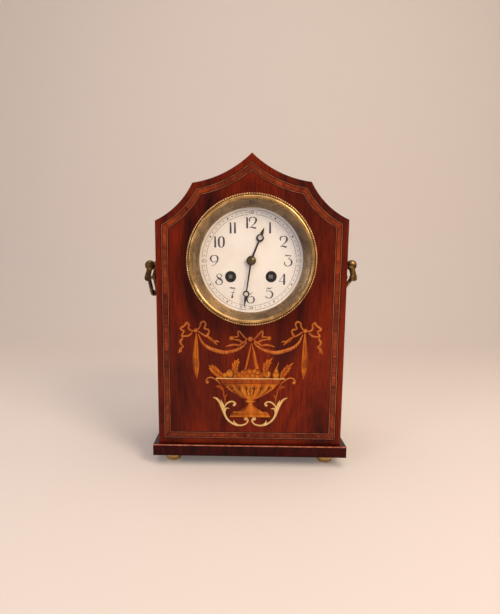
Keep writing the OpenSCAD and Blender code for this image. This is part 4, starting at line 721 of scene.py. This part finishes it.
for points in [
        [(-27, 92.8, 0.4), (-33, 97, 0.7), (-40, 103.4, 0.3)],
        [(-14.2, 96.4, 0.4), (-15.2, 102.6, 0.6), (-13, 109, 0.3)],
        [(14.8, 96.6, 0.4), (15, 103, 0.6), (18.8, 109.4, 0.3)],
        [(31, 93, 0.4), (34.4, 99.6, 0.6), (39, 105.4, 0.3)],
        [(-17.4, 93.4, 0.5), (-16.9, 97.4, 0.8), (-17.6, 101.4, 0.4)], [(12.2, 93, 0.5), (12.4, 97.6, 0.7)],
        [(20.9, 92.8, 0.6), (21, 97.6, 0.7)], [(29.4, 93, 0.6), (29.3, 97, 0.6)],
        [(16.4, 99.8, 0.3), (16.8, 98, 0.6)], [(-23, 99.4, 0.3), (-20.6, 98.4, 0.6)]]:
    lay_stroke(form, points, top_level, middle=fruit_x, sides=one_side, steps=4)
for x, z, r in [(-15.6, 94.4, 1.9), (-11.8, 95.8, 2.3), (-5.6, 97.4, 2.4), (-1.4, 98.8, 2.4),
                (-3.2, 94.6, 2.2), (2.4, 95.2, 2.4), (7.8, 97.6, 2.5), (7, 94.2, 2), (11.4, 95.8, 2.1)]:
    lay_stroke(form, [(x - r, z + r * 0.2, 0.2), (x - r * 0.3, z + r * 0.95, 0.5),
                      (x + r * 0.7, z + r * 0.7, 0.4), (x + r, z - r * 0.1, 0.2)],
               top_level, middle=fruit_x, sides=one_side, steps=3)
# The reeds of the bowl, each with a short cut at either side
for x in (4.6, 12, 20):
    lay_stroke(form, [(x, 84.8, 0.9), (x * 0.92, 81, 1.2), (x * 0.76, 77, 0.9), (x * 0.52, 73.4, 0.3)],
               top_level, middle=urn_x, steps=4)
    for k in (1, -1):
        lay_stroke(form, [(x + 1.9 * k, 83.2, 0.8), (x * 0.92 + 0.9 * k, 80.2, 0.6)], top_level,
                   middle=urn_x, steps=3)
for points in [[(0, 84, 0.3), (0, 77, 0.6), (0, 71.4, 0.3)], [(1.1, 82, 0.5), (2.9, 80.4, 0.3)],
               [(1.1, 78.4, 0.5), (3, 77, 0.3)], [(0.9, 74.8, 0.5), (2.2, 73.8, 0.3)],
               [(2.4, 64, 0.3), (5.2, 60.6, 0.4), (9, 58, 0.3)],
               [(4, 88.4, 0.3), (16, 88.4, 0.35), (29, 88.2, 0.3)],
               [(0.2, 54.6, 0.3), (9, 54.6, 0.35), (18.6, 54.6, 0.3)],
               [(0.2, 86.3, 0.4), (14, 86.3, 0.5), (28, 86.3, 0.4)]]:
    lay_stroke(form, points, top_level, middle=urn_x, steps=4)
let_in("marquetry_engraving", form, burnt)

# The bezel
# A spun brass sight ring in a drum, and a hinged door round it: a cast ring with a rounded
# face, a turned lip over the glass and a ring of small beads, all lacquered and worn brown.

dial_low, dial_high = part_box("dial")
dial_z = (dial_low.z + dial_high.z) / 2


def new_brass(name, dull, plain, bright, rough=0.3, patch=60.0, bumpy=0.05):
    """Brass under old lacquer: bright where it is rubbed, brown where it has tarnished."""
    mat, tree, shader = new_finish(name, Metallic=1.0)
    place = add_node(tree, "ShaderNodeTexCoord").outputs["Object"]
    clouds = add_node(tree, "ShaderNodeTexNoise", {"Vector": place, "Scale": patch, "Detail": 6.0,
                                                   "Roughness": 0.65, "Distortion": 0.6}).outputs["Fac"]
    colour = new_ramp(tree, clouds, [(0.3, tint(*dull)), (0.52, tint(*plain)), (0.7, tint(*bright))])
    tree.links.new(colour, shader.inputs["Base Color"])
    tree.links.new(spread(tree, clouds, 0.3, 0.7, rough * 1.45, rough * 0.8), shader.inputs["Roughness"])
    dents = add_node(tree, "ShaderNodeTexNoise", {"Vector": place, "Scale": patch * 6, "Detail": 3.0})
    add_relief(tree, shader, dents.outputs["Fac"], bumpy, 0.0003)
    return mat


turned_brass = new_brass("turned_brass", (114, 88, 56), (182, 146, 94), (226, 194, 142), rough=0.2)
# A far darker copy of the brass, painted shade for the hollow behind the beads
painted_shade_brass = new_brass("painted_shade_brass", (34, 24, 16), (62, 44, 28), (104, 76, 48), rough=0.42)
# A lighter copy of the brass, a painted highlight for the beads
bead_highlight_brass = new_brass("bead_highlight_brass", (150, 116, 76), (206, 166, 112), (238, 208, 158), rough=0.18)
old_brass = new_brass("old_brass", (70, 50, 30), (124, 94, 56), (180, 144, 92), rough=0.34)


def arc_profile(r, a, radius, start, end, steps):
    """Profile points on an arc round (r, a), from one angle to another in degrees."""
    turns = [math.radians(start + (end - start) * i / steps) for i in range(steps + 1)]
    return [(r + radius * math.cos(turned), a + radius * math.sin(turned)) for turned in turns]


def add_door_piece(name, form, mat, sharp):
    """A piece of the bezel door, smooth but for the corners over an angle in degrees."""
    piece = add_piece(name, form, mat, "bezel_door")
    for face in piece.data.polygons:
        face.use_smooth = True
    piece.data.set_sharp_from_angle(angle=math.radians(sharp))
    return piece


def turn_ring(name, profile, mat):
    """Turns a closed line of (radius, depth forward of the case face) points, in millimetres,
    about the dial's axis."""
    form = bmesh.new()
    verts = [form.verts.new((r / 1000, front_y - a / 1000, dial_z)) for r, a in profile]
    edges = [form.edges.new(pair) for pair in zip(verts, verts[1:] + verts[:1])]
    bmesh.ops.spin(form, geom=verts + edges, cent=(0, 0, dial_z), axis=(0, -1, 0), angle=2 * math.pi,
                   steps=192, use_merge=True)
    bmesh.ops.remove_doubles(form, verts=form.verts, dist=1e-7)
    bmesh.ops.recalc_face_normals(form, faces=form.faces)
    return add_door_piece(name, form, mat, 30)


# The door ring, in the section that a turner would cut: a sloping lip over the glass, a fillet
# and a low round face
ring = turn_ring("door_ring", [(56.1, 16.4), (56.1, 17.3), (56.5, 17.9), (56.8, 17.95)]
                 + arc_profile(58.0, 18.8, 1.45, 205, 25, 12)
                 + [(59.5, 17.0), (59.5, 12.2), (59.25, 12.2), (57.7, 12.2), (57.7, 16.4)], turned_brass)
# The hollow that the beads sit in, in a far darker copy of the brass: painted shade between and behind the
# beads
turn_ring("bead_channel", [(59.5, 18.4), (60.0, 17.5), (61.0, 16.7), (61.15, 16.3), (60.9, 15.8),
                           (60.9, 12.2), (60.05, 12.2), (60.05, 9.6), (59.25, 9.6), (59.25, 12.2),
                           (59.5, 12.2)], painted_shade_brass)

# The beads, knurled round the ring's edge, in a lighter copy of the brass: a painted highlight
bead_count, bead_path, bead_r, bead_y = 168, 0.06070, 0.001, front_y - 0.0181
form = bmesh.new()
for i in range(bead_count):
    turned = Matrix.Rotation(2 * math.pi * i / bead_count, 4, "Y")
    at = Matrix.Translation((0, 0, dial_z)) @ turned @ Matrix.Translation((0, bead_y, bead_path))
    bmesh.ops.create_uvsphere(form, u_segments=8, v_segments=6, radius=bead_r, matrix=at)
add_door_piece("door_beads", form, bead_highlight_brass, 180)

# The hinge knuckles of the door, as the CAD has them, each on a lug of the ring
pin_low, pin_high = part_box("bezel_hinge_pin")
hinge_x, hinge_y = (pin_low.x + pin_high.x) / 2, (pin_low.y + pin_high.y) / 2
knuckle_r, knuckle_length, knuckle_lift = 0.0013, 0.005, 0.0052
lug_wide, lug_deep, lug_forward = 0.001, 0.0052, 0.0024
form = bmesh.new()
for z in (dial_z - knuckle_lift, dial_z + knuckle_lift):
    bmesh.ops.create_cone(form, cap_ends=True, segments=32, radius1=knuckle_r, radius2=knuckle_r,
                          depth=knuckle_length, matrix=Matrix.Translation((hinge_x, hinge_y, z)))
    at = Matrix.Translation((hinge_x, hinge_y - lug_forward, z))
    bmesh.ops.create_cube(form, size=1, matrix=at @ Matrix.Diagonal((lug_wide, lug_deep, knuckle_length, 1)))
add_door_piece("door_knuckles", form, old_brass, 40)
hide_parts("bezel_door")
finish_nodes(old_brass, "bezel_frame", "bezel_hinge_pin")

# The sight ring keeps its CAD form, with the hole for the regulator, and gets its turned lines
spun_brass = new_brass("spun_brass", (98, 76, 50), (154, 124, 84), (202, 172, 124), rough=0.24, patch=34.0)
tree = spun_brass.node_tree
place = add_node(tree, "ShaderNodeTexCoord").outputs["Object"]
centred = add_node(tree, "ShaderNodeVectorMath", {0: place, 1: (0, 0, -dial_z)}, operation="ADD")
flat = add_node(tree, "ShaderNodeVectorMath", {0: centred.outputs[0], 1: (1, 0, 1)}, operation="MULTIPLY")
far = add_node(tree, "ShaderNodeVectorMath", {0: flat.outputs[0]}, operation="LENGTH").outputs["Value"]
wave = reckon(tree, "SINE", reckon(tree, "MULTIPLY", far, 4200.0))
chatter = add_node(tree, "ShaderNodeTexNoise", {"W": far, "Scale": 5200.0, "Detail": 2.0},
                   noise_dimensions="1D")
cut = reckon(tree, "ADD", wave, chatter.outputs["Fac"])
add_relief(tree, tree.nodes["Principled BSDF"], cut, 0.7, 0.00015)
finish_nodes(spun_brass, "sight_ring")

# Thin old glass, with a clear way through for the light that falls on the dial
glass, tree, shader = new_finish("bezel_glass", Metallic=0.0, Transmission_Weight=1.0, Roughness=0.0,
                                 IOR=1.45)
clear = add_node(tree, "ShaderNodeBsdfTransparent", {"Color": (0.96, 0.97, 0.96, 1)})
shadow = add_node(tree, "ShaderNodeLightPath").outputs["Is Shadow Ray"]
pane = add_node(tree, "ShaderNodeMixShader", {0: shadow, 1: shader.outputs[0], 2: clear.outputs[0]})
tree.links.new(pane.outputs[0], tree.nodes["Material Output"].inputs["Surface"])
finish_nodes(glass, "bezel_glass")

# The dial
# A sheet of copper with fired white enamel, domed a little. Its figures, minute ring and
# dots are painted in blue-black enamel and fired again, so that they stand just proud.

enamel, tree, shader = new_finish("white_enamel", Coat_Weight=0.7, Coat_Roughness=0.05, Roughness=0.28)
place = add_node(tree, "ShaderNodeTexCoord").outputs["Object"]
yellowing = add_node(tree, "ShaderNodeTexNoise", {"Vector": place, "Scale": 24.0, "Detail": 4.0,
                                                  "Roughness": 0.6})
white = new_ramp(tree, yellowing.outputs["Fac"],
                 [(0.3, tint(230, 217, 203)), (0.5, tint(238, 227, 215)), (0.75, tint(242, 233, 224))])
tree.links.new(white, shader.inputs["Base Color"])
ripples = add_node(tree, "ShaderNodeTexNoise", {"Vector": place, "Scale": 90.0, "Detail": 2.0})
add_relief(tree, shader, ripples.outputs["Fac"], 0.08, 0.0004)
finish_nodes(enamel, "dial")

# Each figure is drawn with a brush, in (across, up, width) strokes in millimetres, 10.4 high
brush_strokes = {
    "0": [[(0, 5.2, 0.5), (-2, 3.6, 1.6), (-2.5, 0, 2), (-2, -3.6, 1.6), (0, -5.2, 0.5), (2, -3.6, 1.6),
           (2.5, 0, 2), (2, 3.6, 1.6), (0, 5.2, 0.5)]],
    "1": [[(-0.1, 5.2, 1.4), (0, 0, 1.8), (0.1, -5.2, 1.9)], [(-1.5, 4.3, 0.3), (-0.3, 4.9, 0.9)]],
    "2": [[(-2.6, 0.9, 0.5), (-3.2, 2.6, 1.2), (-2.4, 4.5, 1.1), (0, 5.2, 0.6), (2.5, 4.4, 1.2),
           (3.3, 2.3, 1.9), (2.3, 0, 1.3), (0, -2.2, 0.6), (-2.6, -4.6, 0.4)],
          [(-3.3, -4.9, 0.3), (-1.6, -4, 0.9), (0.4, -4.5, 1.3), (2.4, -4.9, 1.5), (3.3, -4.2, 0.4)]],
    "3": [[(-3, 4.9, 1.2), (0, 4.75, 0.9), (2.8, 4.9, 0.5)], [(2.8, 4.9, 0.4), (0.2, 1.6, 0.45)],
          [(-0.4, 1.6, 0.4), (1.9, 1.3, 0.8), (3.5, -1.2, 1.7), (2.9, -3.9, 1.3), (0, -5.2, 0.6),
           (-2.9, -4.1, 1), (-3.5, -2, 0.9), (-2.7, -0.9, 0.4)]],
    "4": [[(1.4, 5.2, 1.8), (1.4, -5.2, 1.9)], [(1, 4.8, 0.35), (-3.4, -1.9, 0.5)],
          [(-3.6, -2, 0.55), (0, -2, 0.5), (3.2, -2, 0.45)]],
    "5": [[(-1.9, 5, 0.4), (-0.6, 4.3, 1.1), (1.4, 4.4, 0.8), (2.9, 5.2, 0.3)],
          [(-1.9, 5, 0.4), (-2.4, 1.2, 0.5)],
          [(-2.4, 1.2, 0.4), (0.3, 2, 0.7), (2.9, 0.4, 1.3), (3.4, -1.9, 1.7), (2.4, -4.3, 1.2),
           (0, -5.2, 0.6), (-2.7, -4.3, 0.9), (-3.3, -2.8, 0.6)]],
    "6": [[(2.4, 4.9, 0.4), (-0.6, 3.6, 0.6), (-3, 0.6, 1), (-3.5, -2, 1.6), (-2.5, -4.4, 1.2),
           (0, -5.2, 0.6), (2.6, -4.2, 1.2), (3.4, -1.9, 1.7), (2.5, 0.4, 1.1), (0.3, 1.3, 0.6),
           (-2.2, 0.4, 0.5), (-3, -0.6, 0.4)]],
    "7": [[(-2.7, 4.2, 0.3), (-2.2, 4.9, 0.9), (-0.4, 4.6, 1.4), (2, 4.6, 0.8), (2.8, 5, 0.4)],
          [(2.8, 5, 0.4), (0.9, 0.6, 0.5), (0.1, -2.2, 1.1), (-0.2, -4.2, 2), (-0.2, -5.2, 1.6)],
          [(-1.4, 0.2, 0.3), (0.6, 0.3, 0.6), (2.6, 0.2, 0.3)]],
    "8": [[(-2.3, 3.5, 0.9), (-1.6, 1.9, 1.3), (0.4, 0.6, 1.9), (2.6, -1, 1.5), (3, -2.9, 1.2),
           (2, -4.6, 0.8), (0, -5.2, 0.5), (-2.3, -4.5, 0.8), (-3.1, -2.8, 1.2), (-2.4, -0.8, 0.7),
           (0, 0.6, 0.4), (2, 2.2, 0.5), (2.4, 3.8, 0.9), (1.3, 4.9, 0.6), (-0.4, 5.2, 0.45),
           (-1.8, 4.6, 0.6), (-2.3, 3.5, 0.9)]]}
brush_strokes["9"] = [[(-x, -z, w) for x, z, w in stroke] for stroke in brush_strokes["6"]]
# How far right of its middle each figure of a two-figure number stands
figure_places = {"10": (-3.8, 2.1), "11": (-2.1, 2.1), "12": (-4.1, 1.2)}
small_places = (-1.35, 1.35)


def paint_number(form, number, x, z, size=1.0, places=None):
    """Paints the figures of a number upright round (x, z), in millimetres from the arbor."""
    thinnest = 0.26
    for digit, across in zip(number, places or (0,)):
        for stroke in brush_strokes[digit]:
            points = [(x + across + size * px, z + size * pz + dial_z * 1000, max(size * w, thinnest))
                      for px, pz, w in stroke]
            lay_stroke(form, points, 0, sides=one_side, steps=6)


def paint_dot(form, x, z, r):
    """A round dot of paint, in millimetres from the arbor."""
    at = Matrix.Translation((x / 1000, front_y, dial_z + z / 1000)) @ Matrix.Rotation(math.pi / 2, 4, "X")
    bmesh.ops.create_circle(form, cap_ends=True, radius=r / 1000, segments=14, matrix=at)


hour_path, minute_path, small_size, dot_r, five_dot_r = 35.6, 45.5, 0.32, 0.5, 0.85
form = bmesh.new()
for hour in range(1, 13):
    turned = math.radians(30 * hour)
    paint_number(form, str(hour), hour_path * math.sin(turned), hour_path * math.cos(turned),
                 places=figure_places.get(str(hour)))
for minute in range(1, 61):
    turned = math.radians(6 * minute)
    x, z = minute_path * math.sin(turned), minute_path * math.cos(turned)
    if minute % 15 == 0:
        paint_number(form, str(minute), x, z, size=small_size, places=small_places)
    else:
        paint_dot(form, x, z, five_dot_r if minute % 5 == 0 else dot_r)
# The two circles of the minute ring, broken round the numbers of the quarters
circle_paths, circle_width, gap_angle, arc_steps = (43.4, 47.6), 0.34, 9.2, 60
for r in circle_paths:
    for quarter in range(4):
        edges = []
        for i in range(arc_steps + 1):
            turned = math.radians(90 * quarter + gap_angle / 2 + (90 - gap_angle) * i / arc_steps)
            edges.append([Vector((e * math.sin(turned), e * math.cos(turned) + dial_z * 1000)) / 1000
                          for e in (r + circle_width / 2, r - circle_width / 2)])
        lay_strip(form, edges, 0)
# The paint is laid on the dome of the dial, which stands forward of the case face
dial_front, dial_rise, dial_edge, paint_lift, paint_thick = 3.12, 1.4, dial_high.x * 1000, 0.02, 0.00004
for v in form.verts:
    r = math.hypot(v.co.x, v.co.z - dial_z) * 1000
    v.co.y -= (dial_front + dial_rise * (1 - (r / dial_edge) ** 2) + paint_lift) / 1000
bed_veneer(form, paint_thick)
paint = new_mottled("blue_black_enamel", 420.0, [(0.35, tint(18, 18, 34)), (0.75, tint(56, 52, 76))],
                    Coat_Weight=0.6, Coat_Roughness=0.08, Roughness=0.35)[0]
add_piece("dial_figures", form, paint, "root")

# The hands
# Sawn from thin steel, with a pierced moon near the tip, filed and blued over a flame; the
# minute hand is held on its pipe by a small domed brass collet, gone dark.

blued, tree, shader, film = new_mottled(
    "blued_steel", 120.0, [(0.3, tint(34, 22, 24)), (0.55, tint(52, 38, 44)), (0.8, tint(92, 66, 58))],
    detail=4.0, Metallic=1.0)
tree.links.new(spread(tree, film, 0.0, 1.0, 0.22, 0.5), shader.inputs["Roughness"])
for hand in ("hour_hand", "minute_hand"):
    rounded_copy("filed_" + hand, hand, blued, 0.00012, hand)
collet_brass = new_brass("collet_brass", (42, 32, 16), (88, 68, 36), (150, 124, 78), rough=0.17, patch=220.0)
finish_nodes(collet_brass, "hand_nut")

# Handles and feet
# Cast brass carrying handles on the sides, each a pair of knobbed brackets with a hanging
# bail, dark with handling and bright on the high spots, and turned brass bun feet.

handle_brass = new_brass("handle_brass", (34, 25, 16), (88, 66, 40), (176, 146, 98), rough=0.33, patch=110.0,
                         bumpy=0.12)
for name, node, body, fuller in [("cast_brackets", "handle_brackets", "root", 0.0006),
                                 ("cast_left_bail", "left_bail", "left_bail", 0.00045),
                                 ("cast_right_bail", "right_bail", "right_bail", 0.00045)]:
    rounded_copy(name, node, handle_brass, 0.0003, body, fuller)
foot_brass = new_brass("foot_brass", (136, 106, 62), (200, 164, 104), (242, 216, 162), rough=0.2, patch=90.0,
                       bumpy=0.1)
finish_nodes(foot_brass, "bun_feet")

# The inside and the back of the case
# Pine glue blocks in the corners, and at the back a brass ring with a hinged brass door
# that shuts on the movement, with a knob to pull it by.

pine = new_wood("pine_block", (138, 92, 50), (190, 142, 88), (214, 170, 116), cloud=40.0, grain=420.0)
finish_nodes(pine, "glue_blocks")
door_brass = new_brass("door_brass", (120, 88, 44), (176, 134, 70), (210, 168, 98), rough=0.32, patch=26.0)
finish_nodes(door_brass, "rear_ring", "rear_door", "rear_hinge_pin")

# The movement
# A round eight-day striking movement: lacquered brass plates, wheels and pendulum, steel
# arbors, springs and hammer, and a steel gong wound flat on an iron boss.

plate_brass = new_brass("plate_brass", (150, 112, 54), (196, 152, 80), (220, 180, 108), rough=0.28,
                        patch=18.0, bumpy=0.02)
finish_nodes(plate_brass, "front_plate", "back_plate", "pillars", "movement_straps", "suspension_cock",
             "pendulum_rod", "pendulum_bob", "going_barrel", "going_second_wheel", "centre_wheel",
             "third_wheel", "escape_wheel", "cannon_pinion", "minute_wheel", "hour_wheel", "strike_barrel",
             "strike_second_wheel", "pin_wheel", "locking_wheel", "fly")
bright_steel, tree, shader, haze = new_mottled(
    "bright_steel", 160.0, [(0.3, tint(118, 116, 116)), (0.7, tint(178, 178, 180))],
    detail=4.0, Metallic=1.0)
tree.links.new(spread(tree, haze, 0.0, 1.0, 0.2, 0.42), shader.inputs["Roughness"])
finish_nodes(bright_steel, "strap_screws", "pallets", "hammer", "going_click", "strike_click",
             "regulator_arbor", "gong")
finish_nodes(blued, "going_mainspring", "strike_mainspring", "suspension_spring")

# The winding squares are grey steel; further back, near the front plate, the arbors fade to near black,
# painted shade that keeps the winding holes dark
winding_steel, tree, shader = new_finish("winding_steel", Metallic=1.0, Roughness=0.3)
depth = add_node(tree, "ShaderNodeSeparateXYZ", {0: add_node(tree, "ShaderNodeTexCoord").outputs["Object"]})
ratchet_reach, hole_shade_fade = 0.0028, 0.0005
ratchet_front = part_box("front_plate")[0].y - ratchet_reach
# Painted shade: behind this depth the arbors are near black
painted_hole_shade = spread(tree, depth.outputs["Y"], ratchet_front - hole_shade_fade, ratchet_front)
tree.links.new(new_ramp(tree, painted_hole_shade, [(0.0, tint(132, 130, 130)), (1.0, tint(20, 17, 15))]),
               shader.inputs["Base Color"])
finish_nodes(winding_steel, "going_winding_arbor", "strike_winding_arbor")

# The gong's boss, cast in sand
iron, tree, shader, sand = new_mottled(
    "black_iron", 700.0, [(0.3, tint(34, 32, 32)), (0.7, tint(70, 66, 64))], detail=5.0, Metallic=1.0)
tree.links.new(spread(tree, sand, 0.0, 1.0, 0.45, 0.75), shader.inputs["Roughness"])
add_relief(tree, shader, sand, 0.3, 0.0002)
finish_nodes(iron, "gong_boss")
